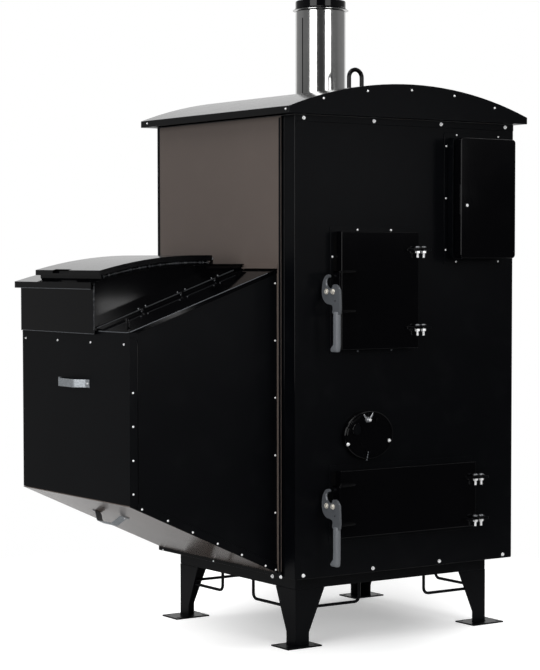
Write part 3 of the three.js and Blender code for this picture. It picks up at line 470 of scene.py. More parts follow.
def hexHead(name, centre, axis, radius, tall, way=1, turn=0.0):
    # A chamfered hexagon standing on centre along the axis
    rings = []
    for out, rise in ((radius, 0), (radius, tall * 0.78), (radius * 0.84, tall)):
        turns = [turn + i * math.pi / 3 for i in range(6)]
        rings.append([about(centre, axis, out * math.cos(t), out * math.sin(t), way * rise) for t in turns])
    return lofted(name, rings, 25)


def stud(name, centre, axis, radius, low, high, thread=True):
    # A shank with rolled thread and a chamfered end
    pitch, bevel = 1.5, 0.8
    profile = [(0.3, low), (radius - bevel, low), (radius, low + bevel)]
    if thread:
        for i in range(int((high - low - 2) / pitch)):
            crest = low + 1 + i * pitch
            profile += [(radius, crest), (radius - 0.7, crest + pitch / 2)]
    profile += [(radius, high - bevel), (radius - bevel, high), (0.3, high)]
    return turned(name, profile, centre, axis, 20)


# Geometry Nodes trees for what repeats or follows a path
class Recipe(Tree):
    family = "GeometryNode"

    def __init__(self, name, inputs):
        group = bpy.data.node_groups.new(name, "GeometryNodeTree")
        super().__init__(group)
        for side in ("INPUT", "OUTPUT"):
            group.interface.new_socket("Geometry", in_out=side, socket_type="NodeSocketGeometry")
        for label, kind in [*inputs, ("Finish", "Material")]:
            group.interface.new_socket(label, in_out="INPUT", socket_type="NodeSocket" + kind)
        self.start = group.nodes.new("NodeGroupInput")

    def given(self, label):
        return Wire(self, self.start.outputs[label])

    def chance(self, low, high):
        limits = {2: low, 3: high, "Seed": self.given("Seed")}
        return self.add("FunctionNodeRandomValue", limits, 1, data_type="FLOAT")

    def facing(self, way):
        return self.add("FunctionNodeAlignRotationToVector", {"Vector": way}, axis="Z")

    def path(self, pitch):
        line = self.add("MeshToCurve", {"Mesh": self.given("Geometry")})
        return self.add("ResampleCurve", {"Curve": line, "Length": pitch}, mode="LENGTH")

    def tube(self, line, radius, sides, caps=True, swell=1.0):
        ring = self.add("CurvePrimitiveCircle", {"Resolution": sides, "Radius": radius})
        inputs = {"Curve": line, "Profile Curve": ring, "Scale": swell, "Fill Caps": caps}
        return self.add("CurveToMesh", inputs)

    def close(self, shape):
        real = self.add("RealizeInstances", {"Geometry": shape})
        done = self.add("SetMaterial", {"Geometry": real, "Material": self.given("Finish")})
        self.add("NodeGroupOutput", {"Geometry": done})
        return self


def boltRecipe():
    # Hex washer-head screws on points, each turned at random about its own axis
    tree = Recipe("screwRecipe", [("Head", "Float"), ("Washer", "Float"), ("Seed", "Int")])
    head, washer = tree.given("Head"), tree.given("Washer")
    skirt = {"Vertices": 16, "Radius Top": washer * 0.93, "Radius Bottom": washer, "Depth": head * 0.3}
    skirt = tree.add("MeshCone", skirt)
    hexagon = tree.add("MeshCylinder", {"Vertices": 6, "Radius": 1.0, "Depth": head})
    hexagon = tree.add("Transform", {"Geometry": hexagon, "Translation": (0, 0, 0.62)})
    crown = {"Vertices": 6, "Radius Top": 0.8, "Radius Bottom": 1.0, "Depth": 0.2}
    crown = tree.add("MeshCone", crown)
    crown = tree.add("Transform", {"Geometry": crown, "Translation": (0, 0, 0.97)})
    screw = tree.add("JoinGeometry", {"Geometry": [skirt, hexagon, crown]})
    kinds = {"facing": "FLOAT_VECTOR", "size": "FLOAT"}
    read = lambda name: tree.add("InputNamedAttribute", {"Name": name}, data_type=kinds[name])
    stand = tree.facing(read("facing"))
    spin = tree.chance(0.0, 1.05)
    spin = tree.add("FunctionNodeAxisAngleToRotation", {"Axis": (0, 0, 1), "Angle": spin})
    turn = {"Rotation": stand, "Rotate By": spin}
    turn = tree.add("FunctionNodeRotateRotation", turn, rotation_space="LOCAL")
    inputs = {"Points": tree.given("Geometry"), "Instance": screw, "Rotation": turn, "Scale": read("size")}
    return tree.close(tree.add("InstanceOnPoints", inputs))


def beadRecipe():
    # A weld or sealant bead along a path, lumpy along its length
    tree = Recipe("beadRecipe", [("Radius", "Float"), ("Pitch", "Float"), ("Ripple", "Float"), ("Seed", "Int")])
    line = tree.path(tree.given("Pitch"))
    lump = tree.chance(-1.0, 1.0)
    return tree.close(tree.tube(line, tree.given("Radius"), 8, swell=lump * tree.given("Ripple") + 1.0))


def wireRecipe():
    # Round wire or bar along a path
    tree = Recipe("wireRecipe", [("Radius", "Float"), ("Pitch", "Float"), ("Sides", "Int")])
    return tree.close(tree.tube(tree.path(tree.given("Pitch")), tree.given("Radius"), tree.given("Sides")))


def ropeRecipe():
    # Three strands laid round a path
    tree = Recipe("ropeRecipe", [("Strand", "Float"), ("Lay", "Float"), ("Pitch", "Float")])
    line = tree.path(tree.given("Pitch"))
    normal = tree.add("InputNormal")
    tangent = tree.add("InputTangent")
    side = tree.vector("CROSS_PRODUCT", {0: tangent, 1: normal})
    step = tree.add("InputIndex") * tree.given("Lay")
    strands = []
    for phase in (0, 2.094, 4.189):
        turn = step + phase
        wave = lambda kind: tree.add("ShaderNodeMath", {0: turn}, operation=kind) * tree.given("Strand")
        first = tree.vector("SCALE", {0: normal, "Scale": wave("COSINE")})
        second = tree.vector("SCALE", {0: side, "Scale": wave("SINE")})
        moved = {"Geometry": line, "Offset": tree.vector("ADD", {0: first, 1: second})}
        strands.append(tree.tube(tree.add("SetPosition", moved), tree.given("Strand"), 6, False))
    return tree.close(tree.add("JoinGeometry", {"Geometry": strands}))


def knuckleRecipe():
    # Short barrels in a row along a line, as a piano hinge or a ball chain has them
    tree = Recipe("knuckleRecipe", [("Radius", "Float"), ("Pitch", "Float"), ("Fill", "Float"), ("Sides", "Int")])
    spots = tree.add("CurveToPoints", {"Curve": tree.path(tree.given("Pitch"))}, mode="EVALUATED")
    tangent = Wire(tree, spots.socket.node.outputs["Tangent"])
    stand = tree.facing(tangent)
    sizes = {"Vertices": tree.given("Sides"), "Radius": tree.given("Radius")}
    sizes["Depth"] = tree.given("Pitch") * tree.given("Fill")
    barrel = tree.add("MeshCylinder", sizes)
    inputs = {"Points": spots, "Instance": barrel, "Rotation": stand}
    return tree.close(tree.add("InstanceOnPoints", inputs))


def made(name, seed, recipe, settings, degrees=35):
    # Runs a recipe on a seed mesh and keeps the plain result
    holder = newPiece(name + "Seed", seed)
    change = holder.modifiers.new("recipe", "NODES")
    change.node_group = recipe.tree
    for item in recipe.tree.interface.items_tree:
        if item.in_out == "INPUT" and item.name in settings:
            change[item.identifier] = settings[item.name]
    settle(holder)
    holder.name = name
    return smooth(holder, degrees)


def lineMesh(name, paths, closed=False):
    points, edges = [], []
    for path in paths:
        base = len(points)
        points += [at(*p) for p in path]
        edges += [(base + i, base + i + 1) for i in range(len(path) - 1)]
        if closed:
            edges.append((base + len(path) - 1, base))
    mesh = bpy.data.meshes.new(name)
    mesh.from_pydata(points, edges, [])
    return mesh


def onWall(way, depth, spots, size):
    # Screw places on an upright plane that faces way
    place = (lambda a, b: (depth, a, b)) if way[0] else (lambda a, b: (a, depth, b))
    return [(place(*spot), way, size) for spot in spots]


def screws(name, rows, seed, finish=None, head=0.72, washer=1.4):
    # Rows of (x, y, z), the way they face and their size in millimetres. The shares give the hexagon's radius
    finish = finish or brightZinc
    bigFrom, bigShare, smallShare = 5, 0.84, 0.72
    mesh = bpy.data.meshes.new(name)
    mesh.from_pydata([at(*spot) for spot, facing, size in rows], [], [])
    mesh.attributes.new("facing", "FLOAT_VECTOR", "POINT")
    mesh.attributes.new("size", "FLOAT", "POINT")
    for i, (spot, facing, size) in enumerate(rows):
        mesh.attributes["facing"].data[i].vector = Vector(facing).normalized()
        mesh.attributes["size"].data[i].value = size * (bigShare if size > bigFrom else smallShare) / 1000
    settings = {"Head": head, "Washer": washer, "Seed": seed, "Finish": finish}
    return fit(made(name, mesh, screwTree, settings), finish)


def wire(name, paths, radius, pitch=6.0, sides=14, closed=False):
    settings = {"Radius": radius / 1000, "Pitch": pitch / 1000, "Sides": sides}
    return made(name, lineMesh(name, paths, closed), wireTree, settings, 50)


def wired(name, paths, radius, finish, sides=10):
    return fit(wire(name, paths, radius, 20, sides), finish)


def beadOf(name, paths, radius, finish, ripple, pitch, seed, degrees=70):
    settings = {"Radius": radius / 1000, "Pitch": pitch / 1000, "Ripple": ripple, "Seed": seed, "Finish": finish}
    return made(name, lineMesh(name, paths), beadTree, settings, degrees)


def bead(name, paths, radius, finish, ripple, pitch, seed):
    return fit(beadOf(name, paths, radius, finish, ripple, pitch, seed), finish)


# Finishes
def closeFinish(finish, tree, tone, roughness, normal, metallic=0.0, specular=0.5):
    sockets = {"Base Color": tone, "Roughness": roughness, "Normal": normal, "Metallic": metallic}
    shader = tree.add("BsdfPrincipled", {**sockets, "Specular IOR Level": specular})
    tree.add("OutputMaterial", {"Surface": shader})
    return finish


def bump(tree, height, distance, under=None):
    more = {"Normal": under} if under else {}
    return tree.add("Bump", {"Strength": 1.0, "Distance": distance, "Height": height, **more})


def powderCoat(name, dark, light, roughness, specular, peel=0.00006, wave=0.0009, dusty=0.05):
    # Sprayed coat: cloudy tone, fine grain, orange peel, settled dust and the slight waves of thin sheet
    finish, tree, place = startFinish(name)
    cloud = tree.spots(place, 1.7, 3, 0.55)
    grain = tree.spots(place, 620, 2, 0.6)
    dust = tree.ramp(tree.spots(place, 9, 5, 0.65), [(0.52, 0.0), (0.78, 1.0)])
    tone = tree.mix(cloud * 0.7 + grain * 0.3, rgb(dark), rgb(light))
    tone = tree.mix(dust * dusty, tone, rgb([min(1, c * 2.2 + 0.02) for c in light]))
    fine = bump(tree, tree.spots(place, 420, 2, 0.5), peel)
    waves = bump(tree, tree.spots(place, 2.6, 1, 0.4), wave, under=fine)
    uneven = roughness + (cloud - 0.5) * roughness * 0.3 + (grain - 0.5) * roughness * 0.2 + dust * 0.03
    return closeFinish(finish, tree, tone, uneven, waves, specular=specular)


def polishedFlue(name, dark, light, roughness):
    # Rolled stainless, with fine lines along the pipe and faint fingermarks
    finish, tree, place = startFinish(name)
    lines = tree.spots(place, 260, 3, 0.6, stretch=(1, 1, 0.012))
    marks = tree.ramp(tree.spots(place, 14, 4, 0.6), [(0.45, 0.0), (0.7, 1.0)])
    tone = tree.mix(lines * 0.6 + marks * 0.2, rgb(dark), rgb(light))
    uneven = roughness + (lines - 0.5) * 0.06 + marks * 0.03
    return closeFinish(finish, tree, tone, uneven, bump(tree, lines, 0.00002), 1.0)


def zincPlate(name, dark, light, roughness, metallic):
    # Bright zinc with a faint flake and small scuffs
    finish, tree, place = startFinish(name)
    flake = tree.add("TexVoronoi", {"Vector": place, "Scale": 210, "Randomness": 1.0})
    scuffs = tree.spots(place, 90, 4, 0.7)
    tone = tree.mix(flake * 0.8 + scuffs * 0.4, rgb(dark), rgb(light))
    uneven = roughness + (scuffs - 0.5) * 0.22
    return closeFinish(finish, tree, tone, uneven, bump(tree, scuffs, 0.00005), metallic)


def millPlate(name, dark, light):
    # Hot-rolled plate with blue-grey scale and a little rust bloom
    finish, tree, place = startFinish(name)
    scale = tree.spots(place, 12, 6, 0.65)
    pits = tree.spots(place, 230, 3, 0.6)
    bloom = tree.ramp(tree.spots(place, 5.5, 4, 0.6), [(0.56, 0.0), (0.8, 1.0)])
    tone = tree.mix(scale, rgb(dark), rgb(light))
    tone = tree.mix(bloom * 0.35, tone, rgb((0.11, 0.055, 0.03)))
    rough = bump(tree, pits * 0.5 + scale * 0.5, 0.0003)
    return closeFinish(finish, tree, tone, 0.62 + (scale - 0.5) * 0.3, rough, 0.45)


def fibre(name, dark, light, scale):
    # Pressed or spun mineral fibre
    finish, tree, place = startFinish(name)
    threads = tree.spots(place, scale, 6, 0.75, stretch=(1, 1, 0.35))
    stain = tree.spots(place, 7, 3, 0.6)
    tone = tree.mix(threads * 0.7 + stain * 0.3, rgb(dark), rgb(light))
    uneven = 0.9 + (stain - 0.5) * 0.1
    return closeFinish(finish, tree, tone, uneven, bump(tree, threads, 0.0006), specular=0.2)


makeCamera()
makeStudio()

black = ((0.0006, 0.0006, 0.0009), (0.0013, 0.0013, 0.0018))
taupe = ((0.088, 0.070, 0.0615), (0.110, 0.089, 0.079))
blackCoat = powderCoat("blackCoat", (0.0007, 0.0009, 0.0014), (0.0015, 0.0018, 0.0027), 0.34, 0.12)
blackGloss = powderCoat("blackGloss", *black, 0.08, 0.26, 0.00001, 0.0003, 0.02)
roofGloss = powderCoat("roofGloss", *black, 0.16, 0.30, 0.00002, 0.0004, 0.02)
slopeCoat = powderCoat("slopeCoat", *taupe, 0.20, 0.26, 0.00002, 0.0004, 0.02)
taupeCoat = powderCoat("taupeCoat", *taupe, 0.36, 0.40)
leverCoat = powderCoat("leverCoat", (0.105, 0.112, 0.123), (0.150, 0.159, 0.172), 0.42, 0.4, 0.00012, 0)
# A grey lighter than the black coat for the hood's rod, sealant and corner weld: painted glints on their lumps and
# curves
glintGreyCoat = powderCoat("glintGreyCoat", (0.016, 0.017, 0.019), (0.030, 0.032, 0.036), 0.30, 0.45, 0.0002, 0)
# A grey lighter than the lever's grip, for wires along the hook's edges: painted highlight of the plate's lit edge
rimHighlightCoat = powderCoat("rimHighlightCoat", (0.17, 0.18, 0.195), (0.24, 0.25, 0.27), 0.40, 0.45, 0.00012, 0)
hookCoat = powderCoat("hookCoat", (0.060, 0.064, 0.071), (0.088, 0.094, 0.103), 0.40, 0.45, 0.00012, 0)
flueSteel = polishedFlue("flueSteel", (0.52, 0.52, 0.52), (0.74, 0.74, 0.73), 0.13)
zinc = zincPlate("zinc", (0.26, 0.27, 0.285), (0.46, 0.47, 0.49), 0.40, 0.85)
strapZinc = zincPlate("strapZinc", (0.20, 0.215, 0.23), (0.44, 0.47, 0.50), 0.42, 0.6)
boltZinc = zincPlate("boltZinc", (0.60, 0.56, 0.49), (0.80, 0.77, 0.70), 0.26, 0.55)
brightZinc = zincPlate("brightZinc", (0.84, 0.85, 0.86), (0.97, 0.97, 0.97), 0.30, 0.3)
millSteel = millPlate("millSteel", (0.03, 0.032, 0.036), (0.09, 0.09, 0.092))
ropeFibre = fibre("ropeFibre", (0.4, 0.37, 0.31), (0.68, 0.65, 0.58), 900)
boardFibre = fibre("boardFibre", (0.45, 0.41, 0.34), (0.66, 0.62, 0.54), 240)

# Each slot's finishes; the first is what its parts have when nothing else is said
slotFinishes = {
    "black_coat": (blackCoat, blackGloss, roofGloss, glintGreyCoat), "taupe_coat": (taupeCoat, slopeCoat),
    "stainless": (flueSteel,), "zinc": (zinc, strapZinc, boltZinc, brightZinc), "mill_steel": (millSteel,),
    "lever_grey": (leverCoat, hookCoat, rimHighlightCoat), "fibre_rope": (ropeFibre,), "fibre_board": (boardFibre,),
}
finishOf = {slot: finishes[0] for slot, finishes in slotFinishes.items()}
for name, node in nodes.items():
    node.data.materials.clear()
    node.data.materials.append(finishOf[slotOf[name]])
print("finishes ready")

screwTree, beadTree, wireTree, ropeTree, knuckleTree = (
    make() for make in (boltRecipe, beadRecipe, wireRecipe, ropeRecipe, knuckleRecipe))
print("recipes ready")

front, rear, left, right = (0, -1, 0), (0, 1, 0), (-1, 0, 0), (1, 0, 0)
gap = 0.3
skin = -3.3

# Folded and cut plate: the width of the rounding along its edges
plateEdges = {
    "base_frame": 2.5, "floor_pan": 1.0, "front_panel": 1.4, "header_strip": 0.8, "left_panel": 0.8,
    "right_panel": 0.8, "rear_panel": 1.2, "roof_sheet": 0.8, "front_gable": 0.8, "rear_gable": 0.8,
    "top_deck": 0.6, "leg_front_left": 1.4, "leg_front_right": 1.4, "leg_rear_left": 1.4, "leg_rear_right": 1.4,
    "bin_outer_panel": 1.2, "bin_front_panel": 0.8, "bin_rear_panel": 0.8, "bin_top_panel": 1.0,
    "bin_hood": 1.2, "hood_deck": 1.0, "bin_lid": 1.4, "auger_tube": 0.8, "auger_motor": 5.0,
    "blower_housing": 1.4, "blower_wheel": 0.5, "fire_liner": 3.0, "ash_liner": 3.0,
}
glossy = {
    "roof_sheet": roofGloss, "bin_lid": roofGloss, "bin_hood": blackGloss, "hood_deck": blackGloss,
    "bin_top_panel": blackGloss,
}
for node, width in plateEdges.items():
    standFor(softened(node, width), node, glossy.get(node))
print("plates ready")

# Chimney
chimney = {
    "centre": (525, 578), "radius": 101.5, "wall": 2, "liner": 76, "rim": 11, "hole": 76.9,
    "steps": 160, "seamTurn": math.radians(-176), "seamFrom": 2000, "seamShort": 30,
    "lap": [(0.15, -9), (1.5, -8.4), (1.8, 0), (1.5, 8.4), (0.15, 9)],
}


def makeChimney():
    # A rolled pipe with a lap seam up its left side, and a dark storm band on a flared rim
    mid = (*chimney["centre"], 0)
    outer, inner = chimney["radius"], chimney["radius"] - chimney["wall"]
    low, high = spanOf("chimney_pipe")
    profile = [(inner, low.z), (outer, low.z), (outer, high.z), (inner, high.z)]
    standFor(turned("chimney_pipe_body", profile, mid, steps=chimney["steps"]), "chimney_pipe")

    def onPipe(out, swing, z):
        turn = chimney["seamTurn"] + swing / outer
        return (mid[0] + (outer + out) * math.cos(turn), mid[1] + (outer + out) * math.sin(turn), z)

    ends = (chimney["seamFrom"], high.z - chimney["seamShort"])
    rings = [[onPipe(*spot, z) for spot in chimney["lap"]] for z in ends]
    fit(lofted("chimney_seam", rings, 20), flueSteel)
    # A black line along the lap's edge: painted shadow of the gap under the lap
    wired("chimney_sealant", [[onPipe(0.2, 10.5, z) for z in ends]], 1.7, blackCoat)

    low, high = spanOf("chimney_liner")
    liner, thin = chimney["liner"], chimney["liner"] - 2
    profile = [(thin, low.z), (liner, low.z), (liner, high.z - 1), (liner - 1, high.z), (thin, high.z)]
    standFor(turned("chimney_liner_body", profile, mid, steps=96), "chimney_liner")

    low, high = spanOf("chimney_band")
    rim, hole, foot = outer + chimney["rim"], chimney["hole"], low.z
    shoulder = foot + chimney["rim"]
    flare = [
        (hole, foot), (outer - 1, foot), (outer + 2.5, foot + 1.5), (rim - 1.5, foot + 4), (rim, foot + 5),
        (rim, foot + 6.5), (rim - 1.5, foot + 7.2), (outer + 2, shoulder - 1), (outer + 1, shoulder),
        (hole, shoulder),
    ]
    crown = [
        (hole, shoulder + 0.2), (outer + 0.5, shoulder + 0.2), (outer + 1.2, shoulder + 3), (outer, shoulder + 5),
        (outer, high.z - 5), (outer - 1.5, high.z - 1.5), (outer - 5, high.z), (hole + 2, high.z), (hole, high.z - 2),
    ]
    spun = lambda name, profile: evened(turned(name, profile, mid, steps=chimney["steps"]))
    standFor(spun("chimney_rim", flare), "chimney_band", flueSteel)
    fit(spun("chimney_crown", crown), blackGloss)


makeChimney()

# Lifting eye: a bent round bar with a weld collar at each foot
eye = {"x": 525, "y": 340, "half": 31, "bar": 8.6, "top": 2208.5, "foot": 1930.4, "weldZ": 2125.4, "weldOut": 10}


def makeEye():
    x, y, half, foot = eye["x"], eye["y"], eye["half"], eye["foot"]
    bend = arc(x, eye["top"] - half, half, 180, 0, 24)
    path = [(a, y, b) for a, b in [(x - half, foot), *bend, (x + half, foot)]]
    standFor(wire("lifting_eye_body", [path], eye["bar"], 3, 20), "lifting_eye", blackGloss)
    for i, side in enumerate((-1, 1)):
        ring = [(a, b, eye["weldZ"]) for a, b in arc(x + side * half, y, eye["weldOut"], 0, 360)]
        bead("eye_collar_" + "ab"[i], [ring], 2.6, blackGloss, 0.2, 3.5, 5 + i)


makeEye()
print("chimney and eye ready")

# Doors: a folded pan with a latch bracket, ribs and hinge ears, on a flanged frame
doors = {
    "fire": {"x": (177, 540), "z": (1123, 1564), "pivotZ": 1341, "hingeZ": (1506, 1210), "hingeX": 551},
    "ash": {"x": (173, 826), "z": (418, 670), "pivotZ": 544, "hingeZ": (620, 459), "hingeX": 840},
}
door = {
    "face": -50, "back": -18, "wall": 3, "corner": 2.0, "fold": 2.2,
    "ribPitch": 147, "ribTall": 6, "ribEnd": 242, "ribOut": 24, "bracketX": (133, 139), "hole": 5.3,
    "pivotY": -80, "leverX": 116, "leverThick": 10, "catchOut": 41, "shank": 4.9, "gripEase": 0.62,
    "axisY": -66, "earHalf": 13, "ear": 8, "bore": 5.1, "link": 5, "linkHalf": 15, "pitch": 29, "tail": 46,
    "lug": 21, "throat": 24, "throatWall": 4, "flangeOut": 18, "throatEnd": 155.7, "tab": 20,
    "ropeIn": 13.5, "ropeY": -10.95,
}
rope = {"Strand": 0.00325, "Lay": 0.42, "Pitch": 0.0032, "Finish": ropeFibre}
leverOutline = [
    (26, 60), (38, 63), (54, 54), (66, 36), (72, 12), (71, -12), (60, -32), (42, -44), (22, -47), (6, -52),
    (3, -62), (3, -80), (-38, -80), (-38, -2), (-33, 12), (-22, 23), (-8, 27), (2, 24), (7, 16), (16, 12),
    (32, 13), (44, 22), (49, 35), (45, 47), (36, 52), (26, 53),
]
# Paths along the hook's edges for lighter grey wires, a painted highlight where the plate's edge catches light
leverHighlightRims = [
    [(-33.6, -76), (-33.6, -3), (-29.4, 10), (-20, 19), (-8, 22.6)],
    [(46.5, 18.5), (53.2, 34), (48.5, 50), (38, 56.6), (29, 56.6)],
]
# Along the grip: the height, the middle's place, the half width and the half thickness
gripStations = [
    (-74, -18, 11, 7.5), (-77, -18, 13.2, 10), (-84, -18, 14, 11), (-120, -18, 14, 11), (-165, -18, 14, 11),
    (-194, -17.5, 14.5, 11), (-202, -14, 18, 11), (-210, -9, 23, 11), (-217, -7, 23.5, 10.6),
    (-221.5, -7, 20, 8.5), (-223, -7, 15, 5.5),
]


def earAt(top):
    return top - door["link"] - gap - door["ear"]


def earPlate(name, outline, top, x):
    hole = disc(x, door["axisY"], door["bore"], 24)
    return plate(name, outline, "xy", earAt(top), earAt(top) + door["ear"], holes=[hole], width=0.9)


def makePan(name, place):
    x, pivotZ, face, ribEnd = place["x"], place["pivotZ"], door["face"], door["ribEnd"]
    near, far = door["bracketX"]
    tip, tall = face - door["ribOut"], door["ribTall"] / 2
    parts = [tray(name + "_pan", x, (face, door["back"]), place["z"], door["wall"], door["corner"], door["fold"])]
    rib = [
        (near, face - 6), (near, tip - 12), (far + 8, tip - 12), (ribEnd - 22, tip),
        (ribEnd - 10, face - door["ribOut"] * 0.62), (ribEnd, face + 0.6), (x[0], face + 0.6), (x[0] - 4, face - 6),
    ]
    for side in (1, -1):
        mid = pivotZ + side * door["ribPitch"] / 2
        parts.append(plate("rib", rib, "xy", mid - tall, mid + tall, width=0.9))
        seam = [[(a, face - 0.6, mid + s * (tall + 0.6)) for a in (x[0] + 6, ribEnd - 6)] for s in (-1, 1)]
        parts.append(beadOf("ribWeld", seam, 1.6, blackGloss, 0.35, 3, 8, 35))
    reach = grow((pivotZ, pivotZ), door["ribPitch"] / 2 + tall)
    bracket = roundRect((door["pivotY"] - 18, face - 8), reach, 6, 4)
    hole = disc(door["pivotY"], pivotZ, door["hole"], 24)
    parts.append(plate("bracket", bracket, "yz", near, far, holes=[hole], width=0.7))
    boltX, axisY, half = place["hingeX"] - door["pitch"], door["axisY"], door["earHalf"]
    tail = boltX - door["tail"]
    ear = [(tail, face + 0.6), (tail, axisY + 4), (tail + 20, axisY - half)]
    ear += [*arc(boltX, axisY, half, -90, 90), (boltX - 1, face + 0.6)]
    parts += [earPlate("ear", ear, top, boltX) for top in place["hingeZ"]]
    assembled(name, parts, blackGloss)


def makeFrame(name, place):
    x, z = place["x"], place["z"]
    near, flangeX = door["bracketX"][0], grow(x, door["flangeOut"])
    tab = grow((place["pivotZ"], place["pivotZ"]), door["tab"])
    mouthX, mouthZ = grow(x, -door["throat"]), grow(z, -door["throat"])
    hole = rect(mouthX, mouthZ)
    edge = rect(flangeX, grow(z, door["flangeOut"]))
    edge += [(flangeX[0], tab[1]), (near, tab[1]), (near, tab[0]), (flangeX[0], tab[0])]
    outer = rect(grow(mouthX, door["throatWall"]), grow(mouthZ, door["throatWall"]))
    parts = [
        plate("flange", edge, "xz", skin, -gap, holes=[hole], width=0.7),
        plate("sleeve", outer, "xz", -gap, door["throatEnd"], holes=[hole]),
        bar("catch", (near, near + 6), (-47, -0.6), tab, 1.0),
    ]
    hingeX, axisY, half = place["hingeX"], door["axisY"], door["earHalf"]
    lugTo = hingeX + half + door["lug"]
    lugFrom = lugTo - door["lug"]
    lug = [*arc(hingeX, axisY, half, 90, 270), (lugTo - 8, axisY - half), (lugTo, axisY - half + 8), (lugTo, -3)]
    lug += [(lugFrom + 3, -3), (lugFrom + 3, axisY + half)]
    for top in place["hingeZ"]:
        base, head = earAt(top), earAt(top) + door["ear"]
        seam = [[(a, -4.4, z) for a in (lugFrom + 5, lugTo - 1)] for z in (base - 0.8, head + 0.8)]
        parts += [
            earPlate("lug", lug, top, hingeX),
            bar("lugPlate", (flangeX[1] + 0.2, lugTo + 6), (skin, -gap), (base - 14, head + 14), 0.7),
            beadOf("lugWeld", seam, 2, blackCoat, 0.35, 3, 9, 35),
        ]
    assembled(name, parts)


def makeGasket(name, place):
    # Rope round the mouth, laid in the pan behind the board
    line = roundRect(grow(place["x"], -door["ropeIn"]), grow(place["z"], -door["ropeIn"]), 14, 6)
    seed = lineMesh("ropeLine", [[(a, door["ropeY"], b) for a, b in line]], True)
    standFor(made(name + "_body", seed, ropeTree, rope, 80), name)


def makeLink(name, top, spots):
    low, axisY, half = top - door["link"], door["axisY"], door["linkHalf"]
    outline = arc(spots[1], axisY, half, -90, 90) + arc(spots[0], axisY, half, 90, 270)
    strap = plate(name + "_strap", outline, "xy", low, top, width=1.2)
    dress(strap, bodyOf[name], blackGloss, [name])
    nutTop = low - gap * 2 - door["ear"]
    washer = [(5.2, top + 0.02), (10.4, top + 0.02), (10.4, top + 1.3), (9.9, top + 1.6), (5.2, top + 1.6)]
    dome = [(0.3, top + 1.5), (9, top + 1.5), (8.8, top + 2.8), (6.5, top + 4.2), (3, top + 4.9), (0.3, top + 5)]
    bolts, heads = [], []
    for i, spot in enumerate(spots):
        mid = (spot, axisY, 0)
        heads += [turned(part, profile, mid, steps=28) for part, profile in (("washer", washer), ("head", dome))]
        bolts.append(hexHead("nut", (spot, axisY, nutTop), "z", 10.2, 9.4, -1, 0.7 + i))
        bolts.append(stud("pin", mid, "z", door["shank"], nutTop - 26, top + 2))
    fit(merged(name + "_bolts", bolts), brightZinc, bodyOf[name])
    fit(merged(name + "_heads", heads), zinc, bodyOf[name])


def cappedWith(spot, hole, out, seat, radius, turn):
    # A washer and a hexagon head, out and seat before the plate's face
    x, y, z = spot
    washer = [(hole, x - out), (10.5, x - out), (11, x - out + 0.4), (11, x - seat), (hole, x - seat)]
    head = hexHead("head", (x - out, y, z), "x", radius, 5.4, -1, turn)
    return [turned("washer", washer, (0, y, z), "x", 28), head]


def makeLever(name, pivotZ):
    # A cut plate hook with a fat grip
    x0, pivotY = door["leverX"], door["pivotY"]
    x1 = x0 + door["leverThick"]
    midX, ease = (x0 + x1) / 2, door["gripEase"]
    edge = flowing([(pivotY + a, pivotZ + b) for a, b in leverOutline], 4)
    holes = [disc(pivotY, pivotZ, door["bore"], 28), disc(pivotY - 12, pivotZ - 34, 4, 16)]
    standFor(plate(name + "_hook", edge, "yz", x0, x1, holes=holes, width=2.2, segments=3), name, hookCoat)
    rings = []
    for height, mid, wide, thick in gripStations:
        ring = []
        for c, s in disc(0, 0, 1, 32, start=0):
            out, side = thick * math.copysign(abs(s) ** ease, s), wide * math.copysign(abs(c) ** ease, c)
            ring.append((midX + out, pivotY + mid + side, pivotZ + height))
        rings.append(ring)
    # Thick wires along the hook's edges in a lighter grey: painted highlight of the plate's lit edge
    rims = [[(midX, pivotY + a, pivotZ + b) for a, b in path] for path in leverHighlightRims]
    fit(wire(name + "_rims", rims, 4.7, 5, 16), rimHighlightCoat, name)
    fit(lofted(name + "_grip", rings, 60), leverCoat, name)
    shank = door["shank"]
    catch = (x0, pivotY + door["catchOut"], pivotZ)
    end = [(0.3, x1), (shank, x1), (shank, x1 + 1.4), (4, x1 + 2), (0.3, x1 + 2)]
    parts = [*cappedWith(catch, 4, 1.5, 0.02, 9, 0.35), turned("end", end, (0, *catch[1:]), "x", 20)]
    fit(merged(name.replace("lever", "catch_bolt"), parts), boltZinc, name)
    far = door["bracketX"][1]
    assembled(name + "_bolt", [
        *cappedWith((x0, pivotY, pivotZ), 5, 1.8, gap, 9.4, 0.9),
        stud("shank", (0, pivotY, pivotZ), "x", shank, x0 - 2, far + 7.8),
        hexHead("nut", (far + gap, pivotY, pivotZ), "x", 9.4, 6.6, 1, 0.5),
    ], boltZinc)


for name, place in doors.items():
    makePan(name + "_door", place)
    makeFrame(name + "_frame", place)
    makeGasket(name + "_gasket", place)
    for top, which in zip(place["hingeZ"], ("upper", "lower")):
        makeLink(name + "_hinge_link_" + which, top, (place["hingeX"] - door["pitch"], place["hingeX"]))
    makeLever(name + "_lever", place["pivotZ"])
print("doors ready")

# Control box between the roof and the fire door
control = {
    "x": (720, 980), "z": (1462, 1930), "flange": 20, "rim": -33, "inset": 12, "deep": -86, "round": 14,
    "coverX": (711, 985), "coverZ": (1465, 1927), "face": -94, "back": -61, "sheet": 2,
    "lock": (741, 1668), "pin": (989, -62), "barrels": 20, "tabZ": (1632, 1748), "screw": 3.9,
    "screws": [(710, 1898), (709, 1697), (708, 1497), (761, 1942), (972, 1942), (760, 1452), (973, 1453)],
}


